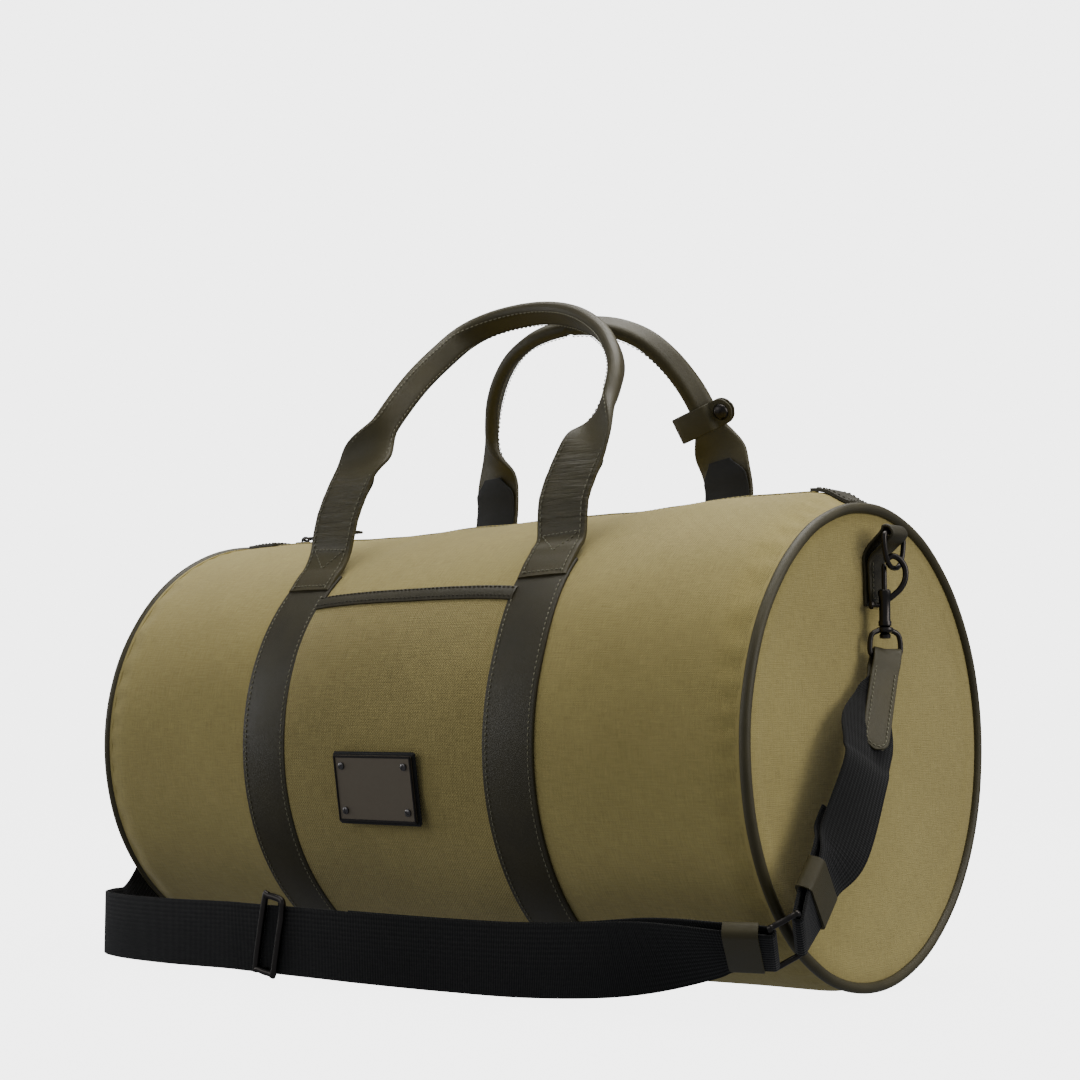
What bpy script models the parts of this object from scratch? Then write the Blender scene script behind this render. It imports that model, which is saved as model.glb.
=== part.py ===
"""A canvas barrel duffel bag: zipped canvas barrel, piped round ends, leather straps, two leather
handles with a snap wrap, and a webbing shoulder strap clipped to a D-ring on each end.

+X runs along the barrel, -Y is the front with the pocket, +Z is up. The origin is the middle of the
base, on the floor. All sizes are metres. Angles round the barrel start at the front and go up.
"""
import math

import bmesh
import bpy
from mathutils import Matrix, Vector

# Barrel
BODY_R = 0.1318
SEAM_R = 0.1285
AXIS_Z = 0.1292
SHELL_END_X = 0.2290
FULL_R_END_X = 0.2080
CANVAS_T = 0.0018
LINING_T = 0.0008
GAP = 0.0003
STEP_DEG = 7.5
MOUTH_HALF_W = 0.0100

# Ends and piping
PIPING_R = 0.0030
PIPING_X = 0.2325
PIPING_PATH_R = 0.1275
END_PANEL_R = 0.1241

# Leather straps round the barrel, and the pocket between them
STRAP_X = 0.0903
STRAP_W = 0.0340
LEATHER_T = 0.0022
STRAP_TOP_DEG = 58.0
POCKET_HALF_W = 0.0722
POCKET_TOP_DEG = 37.5
POCKET_BOTTOM_DEG = -67.5
POCKET_T = 0.0011

# Handles
HANDLE_LEG_W = 0.0320
HANDLE_LEG_T = 0.0030
GRIP_W = 0.0165
GRIP_T = 0.0090
ANCHOR_BOTTOM_DEG = 43.0
HANDLE_LINING_T = 0.0010

# Badge
BADGE_DEG = -9.5
BADGE_W, BADGE_H = 0.0600, 0.0390
PLATE_W, PLATE_H = 0.0540, 0.0330

# Zip
ZIP_HALF_LENGTH = 0.2040
TOOTH_ROW_W = 0.0022
TOOTH_ROW_H = 0.0016
ROW_GAP = 0.0012
TAPE_T = 0.0006
TAPE_EDGE_Y = 0.0132
SLIDER_X = -0.1880

# Ends' D-rings and the hooks on them
LOOP_Z = 0.2430
RING_X = 0.2474
RING_WIRE_R = 0.0012
RING_HALF_W = 0.0105
RING_DROP = 0.0185
HOOK_X = 0.2435
HOOK_Y = -0.0039
HOOK_TURN_DEG = 45.0
HOOK_TOP_Z = 0.2290
HOOK_WIRE_R = 0.0014

# Shoulder strap
WEB_W = 0.0380
WEB_T = 0.0015
LAYER_STEP = 0.0023

OLIVE = (0.21, 0.18, 0.085)
LEATHER = (0.042, 0.036, 0.022)
BLACK = (0.008, 0.008, 0.009)
GUNMETAL = (0.05, 0.045, 0.045)


def clear_scene():
    for obj in list(bpy.data.objects):
        bpy.data.objects.remove(obj, do_unlink=True)


def material(name, colour, roughness, metallic=0.0):
    made = bpy.data.materials.new(name)
    made.use_nodes = True
    shader = made.node_tree.nodes["Principled BSDF"]
    shader.inputs["Base Color"].default_value = (*colour, 1.0)
    shader.inputs["Roughness"].default_value = roughness
    shader.inputs["Metallic"].default_value = metallic
    return made


def solid(name, bm, mat, smooth_deg=40.0):
    """Closes a bmesh into a named object whose faces point out."""
    bmesh.ops.remove_doubles(bm, verts=bm.verts, dist=1e-6)
    bmesh.ops.recalc_face_normals(bm, faces=bm.faces)
    mesh = bpy.data.meshes.new(name)
    bm.to_mesh(mesh)
    bm.free()
    mesh.shade_smooth()
    mesh.set_sharp_from_angle(angle=math.radians(smooth_deg))
    mesh.materials.append(mat)
    obj = bpy.data.objects.new(name, mesh)
    bpy.context.scene.collection.objects.link(obj)
    return obj


def loft(name, rings, mat, closed=False):
    """Skins rings of equal count. An open loft gets a cap at each end, a closed one joins up."""
    bm = bmesh.new()
    made = [[bm.verts.new(p) for p in ring] for ring in rings]
    count = len(made[0])
    pairs = list(zip(made, made[1:]))
    if closed:
        pairs.append((made[-1], made[0]))
    for a, b in pairs:
        for i in range(count):
            j = (i + 1) % count
            bm.faces.new((a[i], a[j], b[j], b[i]))
    if not closed:
        bm.faces.new(made[0])
        bm.faces.new(made[-1])
    return solid(name, bm, mat)


def box(name, centre, size, mat, bevel=0.0, turn=None):
    """A box, with its edges bevelled if asked and turned by a matrix about its own centre."""
    bm = bmesh.new()
    bmesh.ops.create_cube(bm, size=1.0)
    bmesh.ops.scale(bm, vec=Vector(size), verts=bm.verts)
    if bevel:
        bmesh.ops.bevel(bm, geom=bm.edges[:], offset=bevel, segments=2, affect="EDGES")
    if turn is not None:
        bmesh.ops.transform(bm, matrix=turn, verts=bm.verts)
    bmesh.ops.translate(bm, vec=Vector(centre), verts=bm.verts)
    return solid(name, bm, mat)


def cylinder(name, start, end, radius, mat, sides=16, end_radius=None):
    start, end = Vector(start), Vector(end)
    along = end - start
    bm = bmesh.new()
    bmesh.ops.create_cone(
        bm, cap_ends=True, segments=sides, radius1=radius,
        radius2=radius if end_radius is None else end_radius, depth=along.length,
    )
    turn = along.to_track_quat("Z", "Y").to_matrix().to_4x4()
    bmesh.ops.transform(bm, matrix=Matrix.Translation((start + end) / 2) @ turn, verts=bm.verts)
    return solid(name, bm, mat)


def smooth_path(keys, per_span):
    """A Catmull-Rom curve through vectors of any one length, ends included."""
    keys = [Vector(k) for k in keys]
    ends = [2 * keys[0] - keys[1]] + keys + [2 * keys[-1] - keys[-2]]
    made = []
    for a, b, c, d in zip(ends, ends[1:], ends[2:], ends[3:]):
        for step in range(per_span):
            t = step / per_span
            made.append(
                0.5 * (2 * b + (c - a) * t + (2 * a - 5 * b + 4 * c - d) * t**2
                       + (3 * b - a - 3 * c + d) * t**3)
            )
    made.append(keys[-1])
    return made


def directions(points):
    """The unit tangent at each point of a path."""
    made = []
    for i in range(len(points)):
        before, after = points[max(i - 1, 0)], points[min(i + 1, len(points) - 1)]
        made.append((after - before).normalized())
    return made


def ribbon_rings(points, across, width, thickness):
    """Four corners at each point: across is the width's direction there, made square to the path."""
    rings = []
    for point, along, side in zip(points, directions(points), across):
        side = (side - side.dot(along) * along).normalized()
        face = along.cross(side).normalized()
        w, t = side * width / 2, face * thickness / 2
        rings.append([point + w + t, point - w + t, point - w - t, point + w - t])
    return rings


def union_into(obj, others):
    """Joins solids that overlap into obj, and leaves one body."""
    for other in others:
        join = obj.modifiers.new("join_" + other.name, "BOOLEAN")
        join.operation = "UNION"
        join.object = other
        hide_helper(other)
    return obj


def cut_from(obj, cutter):
    cut = obj.modifiers.new("cut_" + cutter.name, "BOOLEAN")
    cut.operation = "DIFFERENCE"
    cut.object = cutter
    hide_helper(cutter)
    return obj


def hide_helper(obj):
    obj.hide_render = True
    obj.display_type = "WIRE"


# ---------------------------------------------------------------- barrel

def round_point(deg, radius, x, floor=0.0):
    """A point on the barrel's section, flattened where it rests on the floor."""
    a = math.radians(deg)
    return Vector((x, -radius * math.cos(a), max(AXIS_Z + radius * math.sin(a), floor)))


def grid_degrees(low, high):
    """The section's shared angles between two limits, with the limits themselves."""
    first = math.floor(low / STEP_DEG) + 1
    inside = []
    while first * STEP_DEG < high - 0.5:
        if first * STEP_DEG > low + 0.5:
            inside.append(first * STEP_DEG)
        first += 1
    return [low] + inside + [high]


def barrel_section(x, radius, floor):
    """The canvas wall's section, open at the mouth."""
    mouth_deg = math.degrees(math.asin(MOUTH_HALF_W / BODY_R))
    turns = grid_degrees(90 + mouth_deg, 450 - mouth_deg)
    outer = [round_point(d, radius, x, floor) for d in turns]
    inner = [round_point(d, radius - CANVAS_T, x, floor + CANVAS_T) for d in reversed(turns)]
    return outer + inner


def make_barrel(canvas):
    """The canvas barrel. It is let in by a strap's thickness where a strap runs under it."""
    let_in = LEATHER_T + 2 * GAP
    edges = [(STRAP_X - STRAP_W / 2 - 0.0008), (STRAP_X + STRAP_W / 2 + 0.0008)]
    stations = [
        (0.0, BODY_R, 0.0),
        (edges[0] - 0.0006, BODY_R, 0.0), (edges[0], BODY_R, let_in),
        (edges[1], BODY_R, let_in), (edges[1] + 0.0006, BODY_R, 0.0),
        (FULL_R_END_X, BODY_R, 0.0),
        (0.2200, (BODY_R * 2 + SEAM_R) / 3, 0.0008),
        (SHELL_END_X, SEAM_R, 0.0026),
    ]
    left = [(-x, r, f) for x, r, f in reversed(stations[1:])]
    return loft("barrel_canvas", [barrel_section(*s) for s in left + stations], canvas)


def prism(name, radius, half_length, floor, mat):
    turns = [i * STEP_DEG for i in range(int(360 / STEP_DEG))]
    rings = [[round_point(d, radius, x, floor) for d in turns] for x in (-half_length, half_length)]
    return loft(name, rings, mat)


def make_lining(fabric):
    """The lining is a thin bag inside the canvas, open along the zip."""
    outer_r = SEAM_R - CANVAS_T - 0.0012
    lowest = CANVAS_T + LEATHER_T + 0.0012
    outer = prism("lining", outer_r, SHELL_END_X - 0.001, lowest, fabric)
    hollow = prism("lining_hollow", outer_r - LINING_T, SHELL_END_X - 0.001 - LINING_T,
                   lowest + LINING_T, fabric)
    mouth = box("lining_mouth", (0, 0, AXIS_Z + outer_r), (2 * ZIP_HALF_LENGTH, 0.034, 0.02), fabric)
    return cut_from(cut_from(outer, hollow), mouth)


def make_end(side, canvas, leather):
    """One round end panel and the leather piping round it."""
    turns = [i * STEP_DEG for i in range(int(360 / STEP_DEG))]
    half = CANVAS_T / 2
    rings = [[round_point(d, END_PANEL_R, side * x, 0.0069) for d in turns]
             for x in (PIPING_X - half, PIPING_X + half)]
    loft("end_panel_" + NAMES[side], rings, canvas)
    rings = []
    for deg in turns:
        middle = round_point(deg, PIPING_PATH_R, side * PIPING_X, PIPING_R)
        out = Vector((0, -math.cos(math.radians(deg)), math.sin(math.radians(deg))))
        rings.append([
            middle + PIPING_R * (math.cos(t) * Vector((1, 0, 0)) + math.sin(t) * out)
            for t in (math.radians(45 * i + 22.5) for i in range(8))
        ])
    for ring in rings:
        for point in ring:
            point.z = max(point.z, 0.0)
    loft("piping_" + NAMES[side], rings, leather, closed=True)


def patch(name, x0, x1, turns, inner, thickness, mat):
    """A curved sheet that follows the barrel between two x and through a list of angles."""
    rings = []
    for deg in turns:
        low, high = BODY_R + inner, BODY_R + inner + thickness
        ends = (round_point(deg, low, x0, thickness), round_point(deg, low, x1, thickness),
                round_point(deg, high, x1), round_point(deg, high, x0))
        rings.append(list(ends))
    return loft(name, rings, mat)


def make_straps(leather):
    for side in (1, -1):
        x = side * STRAP_X
        turns = grid_degrees(180 - STRAP_TOP_DEG, 360 + STRAP_TOP_DEG)
        patch("body_strap_" + NAMES[side], x - STRAP_W / 2, x + STRAP_W / 2, turns, GAP, LEATHER_T, leather)


def make_pocket(canvas, leather):
    patch("pocket_panel", -POCKET_HALF_W, POCKET_HALF_W,
          grid_degrees(POCKET_BOTTOM_DEG, POCKET_TOP_DEG - 1.8), GAP, POCKET_T, canvas)
    patch("pocket_binding", -POCKET_HALF_W, POCKET_HALF_W,
          [POCKET_TOP_DEG - 1.6, POCKET_TOP_DEG, POCKET_TOP_DEG + 2.4], GAP, LEATHER_T, leather)


def make_badge(leather, metal):
    """A leather patch with a metal plate and four small screws, flat against the pocket."""
    a = math.radians(BADGE_DEG)
    out = Vector((0, -math.cos(a), math.sin(a)))
    turn = Matrix.Rotation(math.radians(90) - a, 4, "X")
    face = BODY_R + GAP + POCKET_T + GAP
    centre = Vector((0, 0, AXIS_Z)) + out * face

    def plate(name, width, height, thickness, rise, mat, bevel):
        return box(name, centre + out * (rise + thickness / 2), (width, height, thickness), mat, bevel, turn)

    plate("badge_backing", BADGE_W, BADGE_H, 0.0020, 0.0, leather, 0.0008)
    plate("badge_plate", PLATE_W, PLATE_H, 0.0012, 0.0023, metal, 0.0004)
    up = turn @ Vector((0, 1, 0))
    for number, (sx, sz) in enumerate(((-1, 1), (1, 1), (-1, -1), (1, -1)), 1):
        spot = (centre + out * 0.0038 + Vector((sx * (PLATE_W / 2 - 0.004), 0, 0))
                + up * sz * (PLATE_H / 2 - 0.004))
        cylinder(f"badge_screw_{number}", spot, spot + out * 0.0009, 0.0021, metal, 12, 0.0015)


# ---------------------------------------------------------------- zip

def make_zip(fabric, metal, leather):
    """Two tapes, two rows of teeth, end tabs, and a slider whose web runs in the gap between the rows."""
    top = AXIS_Z + BODY_R
    tape_top = top - CANVAS_T - 0.0013
    for side, name in ((-1, "front"), (1, "back")):
        middle = side * (ROW_GAP / 2 + TAPE_EDGE_Y) / 2
        width = TAPE_EDGE_Y - ROW_GAP / 2
        tape = box("zip_tape_" + name, (0, middle, tape_top - TAPE_T / 2),
                   (2 * ZIP_HALF_LENGTH, width, TAPE_T), fabric)
        row_y = side * (ROW_GAP + TOOTH_ROW_W) / 2
        teeth = box("zip_teeth_" + name, (0, row_y, tape_top + TOOTH_ROW_H / 2 - 0.0001),
                    (2 * ZIP_HALF_LENGTH, TOOTH_ROW_W, TOOTH_ROW_H + 0.0002), metal)
        union_into(tape, [teeth])
    teeth_top = tape_top + TOOTH_ROW_H
    slider = box("zip_slider", (SLIDER_X, 0, teeth_top + 0.0003 + 0.0006), (0.0110, 0.0086, 0.0012), metal, 0.0003)
    web_low = tape_top - TAPE_T - 0.0012
    web = box("zip_slider_web", (SLIDER_X, 0, (web_low + teeth_top + 0.0009) / 2),
              (0.0060, 0.0006, teeth_top + 0.0009 - web_low), metal)
    under = box("zip_slider_under", (SLIDER_X, 0, web_low - 0.0004), (0.0100, 0.0080, 0.0010), metal)
    bridge = box("zip_slider_bridge", (SLIDER_X, 0, teeth_top + 0.0048), (0.0066, 0.0022, 0.0010), metal)
    posts = [box(f"zip_slider_post_{end}", (SLIDER_X + end * 0.0028, 0, teeth_top + 0.0031),
                 (0.0008, 0.0020, 0.0036), metal) for end in (-1, 1)]
    union_into(slider, [web, under, bridge] + posts)
    pivot = Vector((SLIDER_X, 0, teeth_top + 0.0030))
    tab = box("zip_pull_tab", pivot + Vector((0.0152, 0, 0.0012)), (0.0316, 0.0064, 0.0014), metal)
    hole = box("zip_pull_hole", pivot + Vector((0.0016, 0, 0.0014)), (0.0060, 0.0034, 0.0020), metal)
    bar = box("zip_pull_bar", pivot, (0.0011, 0.0064, 0.0012), metal)
    cut_from(tab, hole)
    union_into(tab, [bar])
    box("zip_pull_leather", pivot + Vector((0.0325, 0, 0.0032)), (0.0300, 0.0120, 0.0018), leather, 0.0004)
    for side in (1, -1):
        spot = side * (ZIP_HALF_LENGTH + 0.0125)
        box("zip_end_tab_" + NAMES[side], (spot, 0, top + 0.0009), (0.0220, 0.0260, 0.0016), leather, 0.0004)


# ---------------------------------------------------------------- handles

FRONT_KEYS = [
    (0.0903, -0.0748, 0.2500), (0.0903, -0.0735, 0.2680), (0.0897, -0.0670, 0.2900),
    (0.0888, -0.0570, 0.3100), (0.0882, -0.0445, 0.3300), (0.0852, -0.0290, 0.3500),
    (0.0775, -0.0140, 0.3670), (0.0640, 0.0000, 0.3800), (0.0420, 0.0110, 0.3890), (0.0, 0.0160, 0.3925),
]
REAR_KEYS = [
    (0.0903, 0.0758, 0.2500), (0.0901, 0.0795, 0.2680), (0.0893, 0.0800, 0.2890),
    (0.0876, 0.0770, 0.3080), (0.0848, 0.0720, 0.3250), (0.0800, 0.0655, 0.3410),
    (0.0730, 0.0590, 0.3540), (0.0620, 0.0505, 0.3660), (0.0420, 0.0420, 0.3790), (0.0, 0.0360, 0.3865),
]


def handle_path(keys, per_span=3):
    """The arch from the left leg's foot to the right leg's, with the handle's face normal at each point."""
    right = smooth_path(keys, per_span)
    whole = [Vector((-p.x, p.y, p.z)) for p in right] + list(reversed(right[:-1]))
    faces = []
    for i in range(len(right)):
        before, after = right[max(i - 1, 0)], right[min(i + 1, len(right) - 1)]
        lean = Vector((0, after.y - before.y, after.z - before.z)).normalized()
        faces.append(Vector((0, -lean.z, lean.y)))
    return whole, faces + list(reversed(faces[:-1]))


def handle_section(share):
    """Width and thickness along the arch: flat legs, pinched into a narrow folded grip."""
    t = min(max((share - 0.20) / 0.16, 0.0), 1.0)
    t = t * t * (3 - 2 * t)
    return HANDLE_LEG_W + (GRIP_W - HANDLE_LEG_W) * t, HANDLE_LEG_T + (GRIP_T - HANDLE_LEG_T) * t


def make_handle(name, keys, leather, lining_mat):
    points, faces = handle_path(keys)
    half = len(points) // 2
    rings = []
    for i, (point, along, face) in enumerate(zip(points, directions(points), faces)):
        face = (face - face.dot(along) * along).normalized()
        side = along.cross(face).normalized()
        width, thick = handle_section(min(i, len(points) - 1 - i) / half)
        corner = min(thick, width) * 0.3
        w, t = width / 2, thick / 2
        outline = ((w, t - corner), (w - corner, t), (corner - w, t), (-w, t - corner),
                   (-w, corner - t), (corner - w, -t), (w - corner, -t), (w, corner - t))
        rings.append([point + side * u + face * v for u, v in outline])
    loft(name, rings, leather)
    inward = 1 if points[0].y < 0 else -1
    for side_x, chosen in ((-1, range(0, 6)), (1, range(len(points) - 6, len(points)))):
        spots = [points[i] - inward * faces[i] * (HANDLE_LEG_T / 2 + GAP + HANDLE_LINING_T / 2)
                 for i in chosen]
        across = [Vector((1, 0, 0))] * len(spots)
        loft(f"{name}_lining_{NAMES[side_x]}",
             ribbon_rings(spots, across, HANDLE_LEG_W - 0.004, HANDLE_LINING_T), lining_mat)


def make_anchors(leather):
    """The handles' four sewn ends, lying on the body straps."""
    for side in (1, -1):
        x = side * STRAP_X
        half = HANDLE_LEG_W / 2
        inner = GAP + LEATHER_T + GAP
        low, high = ANCHOR_BOTTOM_DEG, STRAP_TOP_DEG - 0.6
        patch("handle_end_front_" + NAMES[side], x - half, x + half,
              grid_degrees(low, high), inner, LEATHER_T, leather)
        patch("handle_end_rear_" + NAMES[side], x - half, x + half,
              grid_degrees(180 - high, 180 - low), inner, LEATHER_T, leather)


WRAP_AT = Vector((0.0842, 0.0709, 0.3280))
WRAP_ALONG = Vector((-0.28, -0.36, 0.89)).normalized()
WRAP_W = 0.0170
WRAP_T = 0.0016


def wrap_frame():
    """The snap wrap's own axes: along the handle, out to the front, and inwards across the handle."""
    out = Vector((0, -1, 0))
    out = (out - out.dot(WRAP_ALONG) * WRAP_ALONG).normalized()
    return WRAP_ALONG, out, WRAP_ALONG.cross(out).normalized() * -1


def wrap_half(name, sign, mat):
    along, out, across = wrap_frame()
    flat = 0.0074
    keys = [(0.0225, 0.0016), (0.0195, 0.0056), (0.0130, flat), (0.0, flat), (-0.0100, flat - 0.0004),
            (-0.0142, 0.0030), (-0.0165, 0.0022), (-0.0270, 0.0022)]
    points = [WRAP_AT + across * u + out * sign * v
              for u, v in (tuple(p)[:2] for p in smooth_path([(k[0], k[1], 0) for k in keys], 3))]
    return loft(name, ribbon_rings(points, [along] * len(points), WRAP_W, WRAP_T), mat)


def make_wrap(leather, metal):
    """A leather strip folded round the rear handle and closed by a snap."""
    along, out, across = wrap_frame()
    wrap_half("handle_wrap_back", -1, leather)
    wrap_half("handle_wrap_flap", 1, leather)
    middle = WRAP_AT - across * 0.0215

    def button(name, low, high, r0, r1):
        cylinder(name, middle + out * low, middle + out * high, r0, metal, 16, r1)

    button("snap_cap", 0.0035, 0.0051, 0.0048, 0.0034)
    button("snap_stud", -0.0011, -0.0002, 0.0042, 0.0030)


# ---------------------------------------------------------------- D-rings and hooks

def tube(name, keys, radius, mat, per_span=4, sides=8, closed=False):
    """A round wire along a smooth path."""
    points = smooth_path(list(keys) + ([keys[0]] if closed else []), per_span)
    if closed:
        points = points[:-1]
    rings = []
    up = Vector((0.31, 0.17, 0.93))
    count = len(points)
    for i, point in enumerate(points):
        before = points[(i - 1) % count] if closed else points[max(i - 1, 0)]
        after = points[(i + 1) % count] if closed else points[min(i + 1, count - 1)]
        along = (after - before).normalized()
        side = (up - up.dot(along) * along).normalized()
        up = side
        face = along.cross(side)
        turns = [math.radians(360 * k / sides) for k in range(sides)]
        rings.append([point + radius * (math.cos(t) * side + math.sin(t) * face) for t in turns])
    return loft(name, rings, mat, closed)


def make_ring_mount(side, leather, metal):
    """The leather tab on an end panel and the D-ring that hangs in its loop."""
    wall = PIPING_X + CANVAS_T / 2 + GAP
    half_w = RING_HALF_W - RING_WIRE_R - 0.0011
    loop_r = RING_WIRE_R + 0.0006 + LEATHER_T
    turns = [math.radians(d) for d in (-90, -60, -30, 0, 30, 60, 90, 120, 150, 180, 210, 240)]
    outline = [(RING_X + loop_r * math.cos(t), LOOP_Z + loop_r * math.sin(t)) for t in turns]
    hole = [(RING_X + (loop_r - LEATHER_T) * math.cos(t), LOOP_Z + (loop_r - LEATHER_T) * math.sin(t))
            for t in reversed(turns[1:])]
    front = RING_X - 0.0052
    profile = outline[:9] + [(wall, LOOP_Z + 0.0020), (wall, LOOP_Z - 0.0400),
                             (wall + LEATHER_T, LOOP_Z - 0.0400), (front, LOOP_Z - 0.0046)]
    profile += hole[1:] + [(RING_X + (loop_r - LEATHER_T) * 0.5, LOOP_Z - (loop_r - LEATHER_T) * 0.87)]
    bm = bmesh.new()
    left = [bm.verts.new((side * x, -half_w, z)) for x, z in profile]
    right = [bm.verts.new((side * x, half_w, z)) for x, z in profile]
    count = len(profile)
    for i in range(count):
        j = (i + 1) % count
        bm.faces.new((left[i], left[j], right[j], right[i]))
    bm.faces.new(left)
    bm.faces.new(right)
    solid("ring_tab_" + NAMES[side], bm, leather)
    low = LOOP_Z - RING_DROP
    r = RING_HALF_W
    keys = [(side * RING_X, y, z) for y, z in (
        (-r + 0.003, LOOP_Z), (0.0, LOOP_Z), (r - 0.003, LOOP_Z), (r, LOOP_Z - 0.0016),
        (r, LOOP_Z - 0.0070), (r * 0.80, low + 0.0048), (r * 0.45, low + 0.0010), (0.0, low),
        (-r * 0.45, low + 0.0010), (-r * 0.80, low + 0.0048), (-r, LOOP_Z - 0.0070), (-r, LOOP_Z - 0.0016))]
    tube("d_ring_" + NAMES[side], keys, RING_WIRE_R, metal, 3, 8, closed=True)


def hook_axes(side):
    """Where a hook's barrel stands, and which way its loop points."""
    a = math.radians(HOOK_TURN_DEG)
    point = Vector((side * math.cos(a), math.sin(a), 0))
    return point, Vector((side * HOOK_X, HOOK_Y, 0))


def make_hook(side, metal):
    """A swivel bolt snap: a hook loop with its barrel, a sliding bolt with a thumb knob, a swivel eye."""
    point, foot = hook_axes(side)
    barrel_top = HOOK_TOP_Z - 0.0165

    def at(u, z):
        return foot + point * u + Vector((0, 0, z))

    loop = tube("hook_body_" + NAMES[side], [
        at(0.0040, barrel_top - 0.0040), at(0.0078, barrel_top + 0.0010), at(0.0112, barrel_top + 0.0060),
        at(0.0112, HOOK_TOP_Z - 0.0050), at(0.0085, HOOK_TOP_Z - 0.0004), at(0.0045, HOOK_TOP_Z + 0.0012),
        at(0.0010, HOOK_TOP_Z - 0.0010)], HOOK_WIRE_R, metal, 3)
    barrel = cylinder("hook_barrel_" + NAMES[side], at(0, barrel_top - 0.0195), at(0, barrel_top),
                      0.0031, metal, 12)
    neck = cylinder("hook_neck_" + NAMES[side], at(0, barrel_top - 0.0235), at(0, barrel_top - 0.0190),
                    0.0014, metal, 12)
    foot_ball = cylinder("hook_foot_" + NAMES[side], at(0, barrel_top - 0.0262), at(0, barrel_top - 0.0232),
                         0.0030, metal, 12, 0.0024)
    shoulder = cylinder("hook_shoulder_" + NAMES[side], at(0, barrel_top - 0.0062), at(0.0058, barrel_top - 0.0010),
                        0.0017, metal, 10)
    union_into(loop, [barrel, neck, foot_ball, shoulder])
    bore = cylinder("hook_bore_" + NAMES[side], at(0, barrel_top - 0.0150), at(0, barrel_top + 0.004),
                    0.0017, metal, 12)
    slot = box("hook_slot_" + NAMES[side], at(-0.0030, barrel_top - 0.0110), (0.0070, 0.0020, 0.0080), metal,
               0.0, Matrix.Rotation(math.atan2(point.y, point.x), 4, "Z"))
    cut_from(cut_from(loop, bore), slot)
    bolt = cylinder("hook_bolt_" + NAMES[side], at(0, barrel_top - 0.0090), at(0, HOOK_TOP_Z - 0.0034),
                    0.0013, metal, 12)
    stem = cylinder("hook_thumb_" + NAMES[side], at(-0.0062, barrel_top - 0.0084), at(0.0004, barrel_top - 0.0084),
                    0.0007, metal, 10)
    head = cylinder("hook_head_" + NAMES[side], at(-0.0076, barrel_top - 0.0084), at(-0.0058, barrel_top - 0.0084),
                    0.0020, metal, 12, 0.0017)
    union_into(bolt, [stem, head])
    collar = cylinder("swivel_eye_" + NAMES[side], at(0, barrel_top - 0.0225), at(0, barrel_top - 0.0202),
                      0.0042, metal, 16)
    hole = cylinder("swivel_hole_" + NAMES[side], at(0, barrel_top - 0.0240), at(0, barrel_top - 0.0190),
                    0.0018, metal, 16)
    across = eye_across(side)
    top = foot + Vector((0, 0, barrel_top - 0.0214))
    eye = tube("eye_wire_" + NAMES[side], [
        top - across * 0.0034, top - across * 0.0085 - Z * 0.0030, top - across * 0.0095 - Z * 0.0110,
        top - across * 0.0070 - Z * 0.0136, top - Z * 0.0138, top + across * 0.0070 - Z * 0.0136,
        top + across * 0.0095 - Z * 0.0110, top + across * 0.0085 - Z * 0.0030, top + across * 0.0034],
        0.0013, metal, 3)
    union_into(collar, [eye])
    cut_from(collar, hole)
    return foot + Vector((0, 0, barrel_top - 0.0214 - 0.0138))


def eye_across(side):
    """The way the swivel eye's lower bar runs, which sets how the strap end hangs."""
    a = math.radians(62)
    return Vector((side * math.cos(a), math.sin(a), 0))


# ---------------------------------------------------------------- shoulder strap

EYE_Z = HOOK_TOP_Z - 0.0165 - 0.0214 - 0.0138
Z = Vector((0, 0, 1))
NAMES = {1: "right", -1: "left"}

# Each row: place, then the way the webbing's width points there.
END_RUN = [
    ((0.2492, -0.1005, 0.0415), (-0.40, 0.75, -0.53)),
    ((0.2503, -0.0915, 0.0545), (-0.28, 0.78, -0.56)),
    ((0.2518, -0.0805, 0.0690), (-0.20, 0.80, -0.57)),
    ((0.2540, -0.0690, 0.0840), (0.20, 0.87, -0.45)),
]
FRONT_RUN = [
    ((0.2380, -0.1125, 0.0330), (-0.40, 0.75, -0.53)),
    ((0.2220, -0.1205, 0.0335), (-0.36, 0.74, -0.57)),
    ((0.2030, -0.1255, 0.0318), (-0.24, 0.62, -0.75)),
    ((0.1500, -0.1285, 0.0250), (0.0, 0.10, -1.0)),
    ((0.1000, -0.1310, 0.0213), (0.0, 0.0, -1.0)),
    ((0.0500, -0.1345, 0.0205), (0.0, 0.0, -1.0)),
    ((0.0000, -0.1405, 0.0210), (0.0, 0.0, -1.0)),
    ((-0.0300, -0.1420, 0.0213), (0.0, 0.0, -1.0)),
    ((-0.0500, -0.1420, 0.0213), (0.0, 0.0, -1.0)),
    ((-0.0900, -0.1420, 0.0213), (0.0, 0.0, -1.0)),
    ((-0.1100, -0.1420, 0.0213), (0.0, 0.0, -1.0)),
    ((-0.1600, -0.1400, 0.0200), (0.0, 0.0, -1.0)),
    ((-0.2050, -0.1350, 0.0194), (0.0, 0.0, -1.0)),
    ((-0.2320, -0.1260, 0.0194), (0.0, 0.0, -1.0)),
    ((-0.2440, -0.1110, 0.0194), (0.0, 0.0, -1.0)),
    ((-0.2500, -0.0930, 0.0200), (0.0, 0.10, -1.0)),
    ((-0.2530, -0.0770, 0.0290), (0.0, 0.45, -0.90)),
    ((-0.2550, -0.0640, 0.0480), (-0.10, 0.75, -0.66)),
    ((-0.2560, -0.0560, 0.0740), (-0.25, 0.87, -0.40)),
]


def strap_end_axis(side):
    """Where the swivel eye's bar is, and the way the leather strap end hangs from it."""
    bar = hook_axes(side)[1] + Z * EYE_Z
    return bar, Vector((side * 0.170, -0.570, -0.800)).normalized()


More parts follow.
